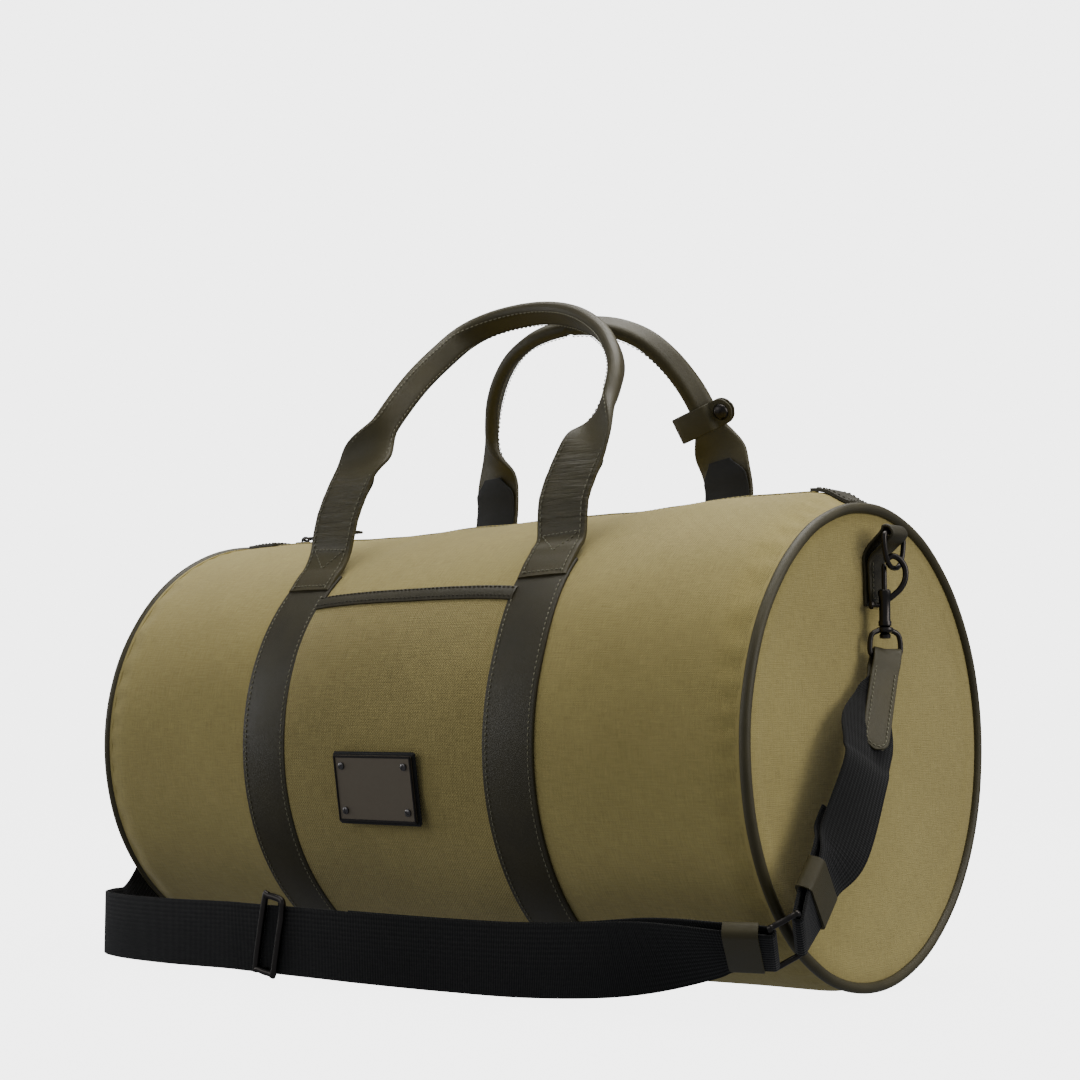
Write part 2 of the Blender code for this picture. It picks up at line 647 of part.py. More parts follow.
def with_leather_end(rows, side):
    """The run carried on, straight, up between the leather end's two layers."""
    bar, down = strap_end_axis(side)
    width = tuple(eye_across(side))
    return rows + [(tuple(bar + down * d), width) for d in (0.078, 0.066, 0.053, 0.040)]


def run_points(rows, per_span):
    points = smooth_path([r[0] for r in rows], per_span)
    across = [a.normalized() for a in smooth_path([r[1] for r in rows], per_span)]
    return points, across


def offset_run(points, across, distance):
    """The same run moved off its own face, for the webbing's second layer."""
    made = []
    for point, along, side in zip(points, directions(points), across):
        side = (side - side.dot(along) * along).normalized()
        made.append(point + along.cross(side).normalized() * distance)
    return made


def doubled_strap(name, rows, per_span, back_count, sign, mat):
    """Webbing whose near end turns back on itself behind the run, where it holds the corner ring."""
    points, across = run_points(rows, per_span)
    back = offset_run(points, across, sign * 2 * LAYER_STEP)
    along = directions(points)[0]
    centre = (points[0] + back[0]) / 2
    out = (points[0] - centre)
    turn = [centre + out * math.cos(math.radians(d)) - along * out.length * math.sin(math.radians(d))
            for d in (150, 120, 90, 60, 30)]
    whole = list(reversed(back[:back_count])) + turn + points
    sides = list(reversed(across[:back_count])) + [across[0]] * len(turn) + across
    return loft(name, ribbon_rings(whole, sides, WEB_W, WEB_T), mat)


def sleeve(name, points, across, start, end, sign, mat):
    """A leather keeper: a flat band with a hole for the two layers of webbing."""
    middle = (points[start] + points[end]) / 2
    along = (points[end] - points[start]).normalized()
    side = across[(start + end) // 2]
    side = (side - side.dot(along) * along).normalized()
    face = along.cross(side).normalized()
    middle = middle + face * sign * LAYER_STEP
    turn = Matrix((along, side, face)).transposed().to_4x4()
    outer = box(name, middle, (0.0130, WEB_W + 0.0046, 0.0118), mat, 0.0008, turn)
    hole = box(name + "_hole", middle, (0.02, WEB_W + 0.0018, 0.0090), mat, 0.0, turn)
    return cut_from(outer, hole)


def make_strap_end(side, leather):
    """The tapered leather end: a layer on each side of the webbing, drawn in below the swivel eye's bar."""
    bar, down = strap_end_axis(side)
    width = eye_across(side)
    face = down.cross(width).normalized()
    for tag, sign in (("outer", side), ("inner", -side)):
        spots = [bar + down * d + face * sign * off
                 for d, off in ((-0.0006, 0.0026), (0.010, 0.0022), (0.030, 0.0019), (0.061, 0.0019))]
        loft(f"strap_end_{tag}_{NAMES[side]}", ribbon_rings(spots, [width] * 4, 0.0150, 0.0014), leather)


def loop_centre(rows, sign):
    """The middle of the turn in which a doubled strap holds the corner ring."""
    points, across = run_points(rows, 4)
    back = offset_run(points, across, sign * 2 * LAYER_STEP)
    return (points[0] + back[0]) / 2


def make_corner_ring(metal):
    """The rectangular ring that joins the strap's short and long parts at the bag's front corner."""
    one, other = loop_centre(END_RUN, 1), loop_centre(FRONT_RUN, -1)
    centre = (one + other) / 2
    long_way = Vector((-0.40, 0.75, -0.53)).normalized()
    short_way = one - centre
    short_way = short_way - short_way.dot(long_way) * long_way
    a, b = 0.0222, short_way.length
    short_way = short_way.normalized()
    corners = [(a - 0.002, b), (0, b), (-a + 0.002, b), (-a, b - 0.002), (-a, 0), (-a, -b + 0.002),
               (-a + 0.002, -b), (0, -b), (a - 0.002, -b), (a, -b + 0.002), (a, 0), (a, b - 0.002)]
    keys = [centre + long_way * u + short_way * v for u, v in corners]
    tube("corner_ring", keys, 0.0013, metal, 2, 8, closed=True)


def make_strap_slider(metal):
    """The three-bar slider: two bars in front of the webbing and one behind it."""
    x, y, z = -0.0700, -0.1420, 0.0215
    tall, wide, bar = 0.0430, 0.0190, 0.0018
    front, back = y - WEB_T / 2 - 0.0005 - bar / 2, y + WEB_T / 2 + 0.0005 + bar / 2
    deep = back - front + bar
    rail = box("strap_slider", (x, (front + back) / 2, z + tall / 2 - bar / 2), (wide, deep, bar), metal)
    others = [box("slider_rail", (x, (front + back) / 2, z - tall / 2 + bar / 2), (wide, deep, bar), metal)]
    for number, (dx, depth) in enumerate(((-1, front), (1, front), (0, back))):
        others.append(box(f"slider_bar_{number}", (x + dx * (wide - bar) / 2, depth, z), (bar, bar, tall), metal))
    return union_into(rail, others)


def main():
    clear_scene()
    canvas = material("canvas", OLIVE, 0.9)
    leather = material("leather", LEATHER, 0.5)
    dark_leather = material("dark_leather", BLACK, 0.7)
    fabric = material("lining_fabric", (0.03, 0.03, 0.03), 0.9)
    web = material("webbing", BLACK, 0.85)
    metal = material("gunmetal", GUNMETAL, 0.3, 1.0)
    board = material("board", (0.05, 0.05, 0.05), 0.6)
    make_barrel(canvas)
    make_lining(fabric)
    box("base_board", (0, 0, 0.0108), (0.4300, 0.0640, 0.0024), board, 0.0006)
    make_straps(leather)
    make_pocket(canvas, leather)
    make_badge(leather, metal)
    make_zip(fabric, metal, leather)
    make_handle("front_handle", FRONT_KEYS, leather, dark_leather)
    make_handle("rear_handle", REAR_KEYS, leather, dark_leather)
    make_anchors(leather)
    make_wrap(leather, metal)
    for side in (1, -1):
        make_end(side, canvas, leather)
        make_ring_mount(side, leather, metal)
        make_hook(side, metal)
        make_strap_end(side, leather)
    doubled_strap("webbing_short", with_leather_end(END_RUN, 1), 4, 14, 1, web)
    doubled_strap("webbing_long", with_leather_end(FRONT_RUN, -1), 4, 27, -1, web)
    points, across = run_points(END_RUN, 4)
    sleeve("keeper_short", points, across, 4, 7, 1, leather)
    points, across = run_points(FRONT_RUN, 4)
    sleeve("keeper_long", points, across, 2, 4, -1, leather)
    make_corner_ring(metal)
    make_strap_slider(metal)


main()
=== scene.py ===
"""The looks of a canvas barrel duffel bag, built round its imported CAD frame. Sizes are metres."""

import math

import bmesh
import bpy
from mathutils import Matrix, Vector, noise


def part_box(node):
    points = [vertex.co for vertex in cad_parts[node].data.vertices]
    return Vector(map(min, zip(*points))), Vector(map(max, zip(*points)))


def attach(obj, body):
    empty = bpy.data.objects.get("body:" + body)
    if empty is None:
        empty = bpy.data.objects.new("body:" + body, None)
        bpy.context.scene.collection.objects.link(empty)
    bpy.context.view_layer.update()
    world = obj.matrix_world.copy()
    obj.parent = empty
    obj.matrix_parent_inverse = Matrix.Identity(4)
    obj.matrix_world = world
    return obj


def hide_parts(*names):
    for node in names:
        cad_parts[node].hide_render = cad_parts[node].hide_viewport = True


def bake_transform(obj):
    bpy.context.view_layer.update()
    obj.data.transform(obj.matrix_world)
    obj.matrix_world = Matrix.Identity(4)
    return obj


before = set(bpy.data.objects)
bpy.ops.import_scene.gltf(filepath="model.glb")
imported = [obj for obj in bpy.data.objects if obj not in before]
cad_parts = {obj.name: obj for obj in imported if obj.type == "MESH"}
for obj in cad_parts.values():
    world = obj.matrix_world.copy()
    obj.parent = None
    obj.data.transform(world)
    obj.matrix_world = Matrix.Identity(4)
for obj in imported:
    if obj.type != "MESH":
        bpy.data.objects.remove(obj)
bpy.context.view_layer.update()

# ---------------------------------------------------------------- places read from the frame

STRAP_LOW, STRAP_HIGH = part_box("body_strap_right")
PIPE_LOW, PIPE_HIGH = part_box("piping_right")
RING_LOW, RING_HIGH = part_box("d_ring_right")
HOOK_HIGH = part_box("hook_body_right")[1]
SLIDER_LOW, SLIDER_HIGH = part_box("strap_slider")

STRAP_X = (STRAP_LOW[0] + STRAP_HIGH[0]) / 2
STRAP_W = STRAP_HIGH[0] - STRAP_LOW[0]
PIPE_X = (PIPE_LOW[0] + PIPE_HIGH[0]) / 2
PIPE_R = 0.0029
BODY_R = 0.1303
AXIS_Z = 0.1310
END_R = 0.1262
FULL_X = 0.2140
LEATHER_T = 0.0021
X, Y, Z = Vector((1, 0, 0)), Vector((0, 1, 0)), Vector((0, 0, 1))
NAMES = {1: "right", -1: "left"}


# ---------------------------------------------------------------- shader graphs

class Value:
    """A socket that takes part in arithmetic, so that shader maths reads as formulas."""

    def __init__(self, graph, socket):
        self.graph, self.socket = graph, socket

    def maths(self, operation, *others, clamp=False):
        node = self.graph.node("ShaderNodeMath", {"operation": operation, "use_clamp": clamp})
        for slot, item in zip(node.inputs, (self,) + others):
            self.graph.feed(slot, item)
        return Value(self.graph, node.outputs[0])

    def __add__(self, other): return self.maths("ADD", other)
    def __sub__(self, other): return self.maths("SUBTRACT", other)
    def __mul__(self, other): return self.maths("MULTIPLY", other)
    def __truediv__(self, other): return self.maths("DIVIDE", other)
    def __pow__(self, other): return self.maths("POWER", other)
    def __rsub__(self, other): return self.maths("MULTIPLY", -1.0).maths("ADD", other)
    __radd__, __rmul__ = __add__, __mul__

    def wave(self): return self.maths("SINE") * 0.5 + 0.5
    def clamped(self): return self.maths("ADD", 0.0, clamp=True)


class Graph:
    """One material's node tree."""

    def __init__(self, name):
        self.made = bpy.data.materials.new(name)
        self.made.use_nodes = True
        self.tree = self.made.node_tree
        self.shader = self.tree.nodes["Principled BSDF"]

    def feed(self, socket, item):
        if isinstance(item, Value):
            self.tree.links.new(item.socket, socket)
        else:
            socket.default_value = item

    def node(self, kind, settings=None, inputs=None):
        made = self.tree.nodes.new(kind)
        for key, value in (settings or {}).items():
            setattr(made, key, value)
        for key, item in (inputs or {}).items():
            self.feed(made.inputs[key], item)
        return made

    def place(self, kind="Object"):
        return Value(self, self.node("ShaderNodeTexCoord").outputs[kind])

    def split(self, vector):
        outputs = self.node("ShaderNodeSeparateXYZ", None, {0: vector}).outputs
        return [Value(self, outputs[i]) for i in range(3)]

    def noise(self, scale, detail=3.0, roughness=0.55, vector=None, distortion=0.0):
        made = self.node("ShaderNodeTexNoise", None, {
            "Vector": vector or self.place(), "Scale": scale, "Detail": detail,
            "Roughness": roughness, "Distortion": distortion})
        return Value(self, made.outputs["Fac"])

    def cells(self, scale, vector=None):
        made = self.node("ShaderNodeTexVoronoi", {"feature": "DISTANCE_TO_EDGE"},
                         {"Vector": vector or self.place(), "Scale": scale})
        return Value(self, made.outputs["Distance"])

    def stretch(self, vector, scale):
        made = self.node("ShaderNodeMapping", None, {"Vector": vector, "Scale": scale})
        return Value(self, made.outputs[0])

    def mix(self, factor, low, high):
        made = self.node("ShaderNodeMix", {"data_type": "RGBA"})
        for index, item in ((0, factor), (6, low), (7, high)):
            self.feed(made.inputs[index], item)
        return Value(self, made.outputs[2])

    def bump(self, height, distance, strength=1.0, normal=None):
        inputs = {"Height": height, "Distance": distance, "Strength": strength}
        if normal is not None:
            inputs["Normal"] = normal
        return Value(self, self.node("ShaderNodeBump", None, inputs).outputs[0])

    def finish(self, **inputs):
        for key, item in inputs.items():
            self.feed(self.shader.inputs[key.replace("_", " ")], item)
        return self.made


def rgb(red, green, blue):
    """Display values 0 to 255 as a scene-linear colour."""
    def linear(c):
        c /= 255
        return c / 12.92 if c <= 0.04045 else ((c + 0.055) / 1.055) ** 2.4
    return (linear(red), linear(green), linear(blue), 1.0)


def woven(name, light, dark, pitch, depth, twill):
    """Cloth from UVs in metres: over-and-under threads, slubs, and slow shade changes."""
    g = Graph(name)
    u, v, _ = g.split(g.place("UV"))
    turn = 2 * math.pi / pitch
    across, up = (u * turn).wave(), (v * turn).wave()
    over_under = ((u * turn).maths("SINE") * (v * turn).maths("SINE")) * 0.5 + 0.5
    diagonal = ((u + v) * (turn * 0.9)).wave()
    weave = over_under * (1.0 - twill) + diagonal * twill
    threads = weave * 0.65 + (across * up) * 0.35
    slub_u = g.noise(1.0, 2.0, vector=g.stretch(g.place("UV"), (90, 1500, 1)))
    slub_v = g.noise(1.0, 2.0, vector=g.stretch(g.place("UV"), (1500, 90, 1)))
    slow, fine = g.noise(7.0, 3.0), g.noise(900.0, 2.0)
    shade = (threads * 0.30 + slub_u * 0.55 + slub_v * 0.55 + slow * 0.55 + fine * 0.25 - 0.62).clamped()
    height = threads + (slub_u + slub_v) * 0.7
    coarse = g.bump(g.noise(28.0, 3.0), 0.0012, 0.35)
    return g.finish(Base_Color=g.mix(shade, dark, light), Roughness=0.93, Specular_IOR_Level=0.22,
                    Sheen_Weight=0.14, Sheen_Roughness=0.6,
                    Normal=g.bump(height, depth, 0.55, coarse))


def leather(name, light, dark, roughness, grain=1.0, crease=0.0, legs=False):
    """Smooth hide: pores, faint creases, a low uneven sheen."""
    g = Graph(name)
    pores, mottle, fold = g.cells(1500.0), g.noise(45.0, 4.0), g.noise(16.0, 3.0, distortion=0.6)
    long_fold = g.noise(1.0, 4.0, 0.6, g.stretch(g.place(), (30, 60, 420)), 0.6)
    if legs:
        _, run, _ = g.split(g.place("UV"))
        long_fold = long_fold * ((run - 0.030) * 80.0).clamped() * ((0.088 - run) * 60.0).clamped()
    shade = (mottle * 0.9 + pores * 0.5 + fold * 0.4 - 0.45).clamped()
    folds = g.bump(long_fold, 0.0026 * crease + 0.00001, 0.8)
    soft = g.bump(fold, 0.0011, 0.35, folds)
    return g.finish(Base_Color=g.mix(shade, dark, light), Roughness=(mottle * 0.22 + roughness).clamped(),
                    Specular_IOR_Level=0.42,
                    Normal=g.bump(pores.maths("MINIMUM", 0.25) + mottle * 0.15, 0.00035 * grain, 0.5, soft))


def metal(name, colour, roughness, scuff=0.12):
    """Plated metal with faint wear in its polish."""
    g = Graph(name)
    wear = g.noise(160.0, 4.0)
    return g.finish(Base_Color=colour, Metallic=1.0, Roughness=(wear * scuff + roughness).clamped())


def ribbed(name, light, dark, width):
    """Webbing from UVs in metres: fine ribs across, cords along, a denser selvedge."""
    g = Graph(name)
    u, v, _ = g.split(g.place("UV"))
    ribs = (v * (2 * math.pi / 0.0011)).wave()
    cords = (u * (2 * math.pi / (width / 15))).wave()
    edge = (u.maths("ABSOLUTE") * (2 / width)) ** 14.0
    fuzz = g.noise(1300.0, 2.0)
    shade = (ribs * 0.35 + cords * 0.35 + fuzz * 0.4 - 0.15).clamped()
    return g.finish(Base_Color=g.mix(shade, dark, light), Roughness=0.86, Specular_IOR_Level=0.25,
                    Sheen_Weight=0.10,
                    Normal=g.bump(ribs * 0.7 + cords + edge * 0.6 + fuzz * 0.3, 0.0003, 0.7))


def plain(name, colour, roughness, **more):
    return Graph(name).finish(Base_Color=colour, Roughness=roughness, **more)


CANVAS = woven("canvas", rgb(184, 169, 104), rgb(126, 111, 58), 0.00095, 0.00035, 0.65)
POCKET = woven("pocket_canvas", rgb(182, 166, 102), rgb(104, 91, 46), 0.0017, 0.0007, 0.1)
HIDE = leather("leather", rgb(60, 54, 27), rgb(40, 35, 14), 0.42)
HANDLE = leather("handle_leather", rgb(80, 73, 40), rgb(54, 48, 22), 0.36, crease=1.0, legs=True)
KEEPER = leather("keeper_leather", rgb(76, 69, 39), rgb(53, 48, 24), 0.44)
PIPING = leather("piping_leather", rgb(78, 71, 42), rgb(52, 47, 24), 0.42, 0.6)
BLACK_HIDE = leather("dark_leather", rgb(20, 20, 18), rgb(10, 10, 9), 0.55, 0.5)
WEB = ribbed("webbing", rgb(16, 16, 15), rgb(4, 4, 4), 0.038)
ZIP_TAPE = ribbed("zip_tape", rgb(78, 72, 52), rgb(48, 44, 30), 0.012)
LINING = plain("lining_fabric", rgb(52, 50, 44), 0.9)
BOARD = plain("board", rgb(46, 44, 40), 0.7)
THREAD = plain("thread", rgb(112, 108, 84), 0.7, Sheen_Weight=0.3)
DARK_THREAD = plain("dark_thread", rgb(62, 58, 42), 0.7)
GUNMETAL = metal("gunmetal", rgb(92, 90, 90), 0.20)
BLACK_METAL = metal("black_nickel", rgb(62, 59, 57), 0.26)
PLATE = metal("plate", rgb(112, 104, 92), 0.42, 0.2)


# ---------------------------------------------------------------- meshes

def put(obj, body, slot_name, *nodes):
    """Hands a finished piece to the frame."""
    if body:
        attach(obj, body)
    if nodes:
        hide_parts(*nodes)
    return obj


def mesh_from(name, points, faces, mat, uvs=None, sharp=50.0):
    mesh = bpy.data.meshes.new(name)
    mesh.from_pydata([tuple(p) for p in points], [], faces)
    if uvs is not None:
        layer = mesh.uv_layers.new(name="UVMap")
        flat = []
        for loop in mesh.loops:
            flat += uvs[loop.vertex_index]
        layer.data.foreach_set("uv", flat)
    mesh.materials.append(mat)
    bm = bmesh.new()
    bm.from_mesh(mesh)
    bmesh.ops.recalc_face_normals(bm, faces=bm.faces)
    bm.to_mesh(mesh)
    bm.free()
    mesh.shade_smooth()
    mesh.set_sharp_from_angle(angle=math.radians(sharp))
    made = bpy.data.objects.new(name, mesh)
    bpy.context.scene.collection.objects.link(made)
    return made


def skin(name, rows, mat, around=False, closed=False, uv_rows=None, sharp=50.0):
    """Joins rows of points. around closes each row, closed joins last to first, else ends get caps."""
    count = len(rows[0])
    points = [p for row in rows for p in row]
    faces = []
    for r in range(len(rows) if closed else len(rows) - 1):
        a, b = r * count, ((r + 1) % len(rows)) * count
        for i in range(count if around else count - 1):
            j = (i + 1) % count
            faces.append((a + i, a + j, b + j, b + i))
    if around and not closed:
        faces.append(tuple(range(count)))
        faces.append(tuple(range(len(points) - count, len(points))))
    uvs = None
    if uv_rows is not None:
        uvs = [uv for row in uv_rows for uv in row]
    return mesh_from(name, points, faces, mat, uvs, sharp)


def smooth_path(keys, per_span):
    """A smooth curve through the keys, with per_span points from each key to the next."""
    keys = [Vector(k) for k in keys]
    ends = [2 * keys[0] - keys[1]] + keys + [2 * keys[-1] - keys[-2]]
    made = []
    for a, b, c, d in zip(ends, ends[1:], ends[2:], ends[3:]):
        for step in range(per_span):
            t = step / per_span
            made.append(0.5 * (2 * b + (c - a) * t + (2 * a - 5 * b + 4 * c - d) * t**2
                               + (3 * b - a - 3 * c + d) * t**3))
    made.append(keys[-1])
    return made


def directions(points):
    """The way along a path at each of its points."""
    return [(points[min(i + 1, len(points) - 1)] - points[max(i - 1, 0)]).normalized()
            for i in range(len(points))]


def lengths(points):
    """The distance along a path to each of its points."""
    made = [0.0]
    for a, b in zip(points, points[1:]):
        made.append(made[-1] + (b - a).length)
    return made


def rounded(width, thickness, radius, steps=3):
    """A rounded rectangle's outline, anticlockwise from the right."""
    radius = min(radius, thickness * 0.499, width * 0.499)
    made = []
    for quarter, (sx, sy) in enumerate(((1, 1), (-1, 1), (-1, -1), (1, -1))):
        for s in range(steps + 1):
            t = math.radians(90 * quarter + 90 * s / steps)
            made.append((sx * (width / 2 - radius) + radius * math.cos(t),
                         sy * (thickness / 2 - radius) + radius * math.sin(t)))
    return made


def frames(points, across):
    """At each point: the way along, the width's way made square to it, and the outward face."""
    made = []
    for along, side in zip(directions(points), across):
        side = (side - side.dot(along) * along).normalized()
        made.append((along, side, along.cross(side).normalized()))
    return made


def band(name, points, across, width, thickness, mat, closed=False, radius=0.0008):
    """A strap. width and thickness may be lists with a value at each point."""
    run, rows, uv_rows = lengths(points), [], []
    for i, (point, (_, side, face)) in enumerate(zip(points, frames(points, across))):
        w = width[i] if isinstance(width, list) else width
        t = thickness[i] if isinstance(thickness, list) else thickness
        outline = rounded(w, t, radius)
        rows.append([point + side * u + face * v for u, v in outline])
        uv_rows.append([(u, run[i]) for u, _ in outline])
    return skin(name, rows, mat, True, closed, uv_rows)


def tube(name, keys, radius, mat, per_span=6, sides=16, closed=False):
    """A round wire or cord through the keys."""
    points = smooth_path(list(keys) + ([keys[0]] if closed else []), per_span)
    if closed:
        points = points[:-1]
    rows, count, up = [], len(points), Vector((0.31, 0.17, 0.93))
    for i, point in enumerate(points):
        before = points[(i - 1) % count] if closed else points[max(i - 1, 0)]
        after = points[(i + 1) % count] if closed else points[min(i + 1, count - 1)]
        along = (after - before).normalized()
        up = (up - up.dot(along) * along).normalized()
        face = along.cross(up)
        rows.append([point + radius * (math.cos(t) * up + math.sin(t) * face)
                     for t in (2 * math.pi * k / sides for k in range(sides))])
    return skin(name, rows, mat, True, closed)


def turned(name, start, end, profile, mat, sides=32):
    """A lathed piece from start to end. profile holds (share along, radius)."""
    start, end = Vector(start), Vector(end)
    axis = (end - start).normalized()
    side = axis.orthogonal().normalized()
    other = axis.cross(side)
    rows = [[start.lerp(end, share) + radius * (math.cos(t) * side + math.sin(t) * other)
             for t in (2 * math.pi * k / sides for k in range(sides))] for share, radius in profile]
    return skin(name, rows, mat, True, sharp=35.0)


def block(name, centre, size, mat, bevel, turn=None, segments=3):
    """A box with rounded edges."""
    bm = bmesh.new()
    bmesh.ops.create_cube(bm, size=1.0)
    bmesh.ops.scale(bm, vec=Vector(size), verts=bm.verts)
    bmesh.ops.bevel(bm, geom=bm.edges[:], offset=bevel, segments=segments, affect="EDGES")
    if turn is not None:
        bmesh.ops.transform(bm, matrix=turn, verts=bm.verts)
    bmesh.ops.translate(bm, vec=Vector(centre), verts=bm.verts)
    mesh = bpy.data.meshes.new(name)
    bm.to_mesh(mesh)
    bm.free()
    mesh.materials.append(mat)
    mesh.shade_smooth()
    mesh.set_sharp_from_angle(angle=math.radians(35))
    made = bpy.data.objects.new(name, mesh)
    bpy.context.scene.collection.objects.link(made)
    return made


def merged(name, pieces):
    """One object from several, each part keeping its material."""
    bm, mats = bmesh.new(), []
    for piece in pieces:
        for mat in piece.data.materials:
            if mat not in mats:
                mats.append(mat)
        if not piece.data.uv_layers:
            piece.data.uv_layers.new(name="UVMap")
        first = len(bm.faces)
        bm.from_mesh(piece.data)
        bm.faces.ensure_lookup_table()
        index = mats.index(piece.data.materials[0])
        for face in bm.faces[first:]:
            face.material_index = index
    mesh = bpy.data.meshes.new(name)
    bm.to_mesh(mesh)
    bm.free()
    for mat in mats:
        mesh.materials.append(mat)
    for piece in pieces:
        bpy.data.objects.remove(piece, do_unlink=True)
    made = bpy.data.objects.new(name, mesh)
    bpy.context.scene.collection.objects.link(made)
    return made


# ---------------------------------------------------------------- repeats

def repeat_group():
    """Geometry Nodes that set a piece at each vertex, turned by the vertex's along and up vectors."""
    group = bpy.data.node_groups.new("repeat_piece", "GeometryNodeTree")
    face = group.interface
    face.new_socket("Geometry", in_out="INPUT", socket_type="NodeSocketGeometry")
    face.new_socket("Piece", in_out="INPUT", socket_type="NodeSocketObject")
    face.new_socket("Finish", in_out="INPUT", socket_type="NodeSocketMaterial")
    face.new_socket("Geometry", in_out="OUTPUT", socket_type="NodeSocketGeometry")
    node, link = group.nodes.new, group.links.new
    begin, end = node("NodeGroupInput"), node("NodeGroupOutput")
    vectors = []
    for name in ("along", "up"):
        read = node("GeometryNodeInputNamedAttribute")
        read.data_type = "FLOAT_VECTOR"
        read.inputs["Name"].default_value = name
        vectors.append(read.outputs["Attribute"])
    turn = node("FunctionNodeAxesToRotation")
    turn.primary_axis, turn.secondary_axis = "Z", "X"
    link(vectors[1], turn.inputs[0])
    link(vectors[0], turn.inputs[1])
    source = node("GeometryNodeObjectInfo")
    link(begin.outputs["Piece"], source.inputs["Object"])
    place = node("GeometryNodeInstanceOnPoints")
    link(begin.outputs["Geometry"], place.inputs["Points"])
    link(source.outputs["Geometry"], place.inputs["Instance"])
    link(turn.outputs[0], place.inputs["Rotation"])
    real, paint = node("GeometryNodeRealizeInstances"), node("GeometryNodeSetMaterial")
    link(place.outputs[0], real.inputs[0])
    link(real.outputs[0], paint.inputs["Geometry"])
    link(begin.outputs["Finish"], paint.inputs["Material"])
    link(paint.outputs[0], end.inputs[0])
    return group


REPEAT = repeat_group()


def repeat(name, spots, piece, mat):
    """A mesh with a copy of piece at each spot. A spot is a place, the way along and the way up."""
    base = bpy.data.meshes.new(name + "_spots")
    base.from_pydata([tuple(s[0]) for s in spots], [], [])
    for index, key in ((1, "along"), (2, "up")):
        attribute = base.attributes.new(key, "FLOAT_VECTOR", "POINT")
        attribute.data.foreach_set("vector", [c for s in spots for c in s[index]])
    holder = bpy.data.objects.new(name + "_holder", base)
    bpy.context.scene.collection.objects.link(holder)
    mod = holder.modifiers.new("repeat", "NODES")
    mod.node_group = REPEAT
    keys = {item.name: item.identifier for item in REPEAT.interface.items_tree if item.in_out == "INPUT"}
    mod[keys["Piece"]], mod[keys["Finish"]] = piece, mat
    bpy.context.view_layer.update()
    graph = bpy.context.evaluated_depsgraph_get()
    mesh = bpy.data.meshes.new_from_object(holder.evaluated_get(graph))
    mesh.name = name
    mesh.shade_smooth()
    bpy.data.objects.remove(holder, do_unlink=True)
    made = bpy.data.objects.new(name, mesh)
    bpy.context.scene.collection.objects.link(made)
    return made


def stitch_piece(length, radius):
    """One thread hump along X that dips into the surface at both ends."""
    rows = []
    for s in range(7):
        t = s / 6
        r = radius * (0.35 + 0.65 * math.sin(math.pi * t))
        rise = radius * (1.1 * math.sin(math.pi * t) - 0.45)
        rows.append([Vector(((t - 0.5) * length, r * math.cos(a), rise + r * math.sin(a)))
                     for a in (2 * math.pi * k / 6 for k in range(6))])
    return skin("stitch_piece", rows, THREAD, True)


STITCH = stitch_piece(0.0023, 0.00034)


def stitch_spots(points, ups, gap=0.0032):
    """Evenly spaced spots along a path, with the surface's way out at each."""
    run, spots, at = lengths(points), [], gap / 2
    while at < run[-1]:
        i = max(k for k in range(len(run)) if run[k] <= at)
        i = min(i, len(points) - 2)
        t = (at - run[i]) / max(run[i + 1] - run[i], 1e-9)
        along = (points[i + 1] - points[i]).normalized()
        up = ups[i].lerp(ups[i + 1], t)
        up = (up - up.dot(along) * along).normalized()
        spots.append((points[i].lerp(points[i + 1], t), along, up))
        at += gap
    return spots


def edge_spots(points, across, width, thickness, inset=0.0026, sides=(1, -1), face_sign=1, keep=None):
    """Stitch spots along a strap's edges, on the face that face_sign picks."""
    spots = []
    for sign in sides:
        line, ups = [], []
        for i, (point, (_, side, face)) in enumerate(zip(points, frames(points, across))):
            w = width[i] if isinstance(width, list) else width
            t = thickness[i] if isinstance(thickness, list) else thickness
            line.append(point + side * sign * (w / 2 - inset) + face * face_sign * t / 2)
            ups.append(face * face_sign)
        low, high = keep or (0, len(line))
        spots += stitch_spots(line[low:high], ups[low:high])
    return spots


# ---------------------------------------------------------------- barrel

def ease(low, high, value):
    """0 below low, 1 above high, and a smooth rise between."""
    t = min(max((value - low) / (high - low), 0.0), 1.0)
    return t * t * (3 - 2 * t)


TOP_LINE = [(-0.232, -0.0050), (-0.215, -0.0028), (-0.180, -0.0014), (-0.120, -0.0014), (-0.070, -0.0010),
            (-0.020, 0.0000), (0.030, 0.0018), (0.070, 0.0030), (0.120, 0.0042), (0.170, 0.0056),
            (0.205, 0.0060), (0.232, 0.0010)]


def along_line(line, x):
    """The value at x of a line given as (x, value) stops."""
    for (x0, v0), (x1, v1) in zip(line, line[1:]):
        if x <= x1:
            return v0 + (v1 - v0) * ease(x0, x1, x)
    return line[-1][1]


def canvas_radius(x, a):
    """The soft barrel's radius: a fuller right top, slack between the straps, drawn in at the ends."""
    up = max(math.sin(a), 0.0)
    radius = BODY_R + along_line(TOP_LINE, x) * up**2
    where = Vector((x * 7.0, 1.3 * math.cos(a), 1.3 * math.sin(a)))
    slack = noise.noise(where) * 0.0017 + noise.noise(where * 2.7 + Vector((5, 2, 1))) * 0.0007
    sides = math.exp(-((abs(x) - STRAP_X) / 0.020) ** 2)
    radius += slack * (1 - 0.85 * sides) - 0.0010 * sides * (0.4 + up)
    tug = sum(math.exp(-((abs(x) - STRAP_X + step) / 0.012) ** 2) for step in (-0.030, 0.030))
    radius -= 0.0011 * tug * math.exp(-((up - 0.93) / 0.08) ** 2)
    end = ease(FULL_X, PIPE_X, abs(x))
    pucker = 0.0004 * math.sin(a * 46 + 3 * math.sin(a * 5)) * math.exp(-((abs(x) - 0.224) / 0.006) ** 2)
    return radius * (1 - end) + (END_R + 0.0010) * end + pucker


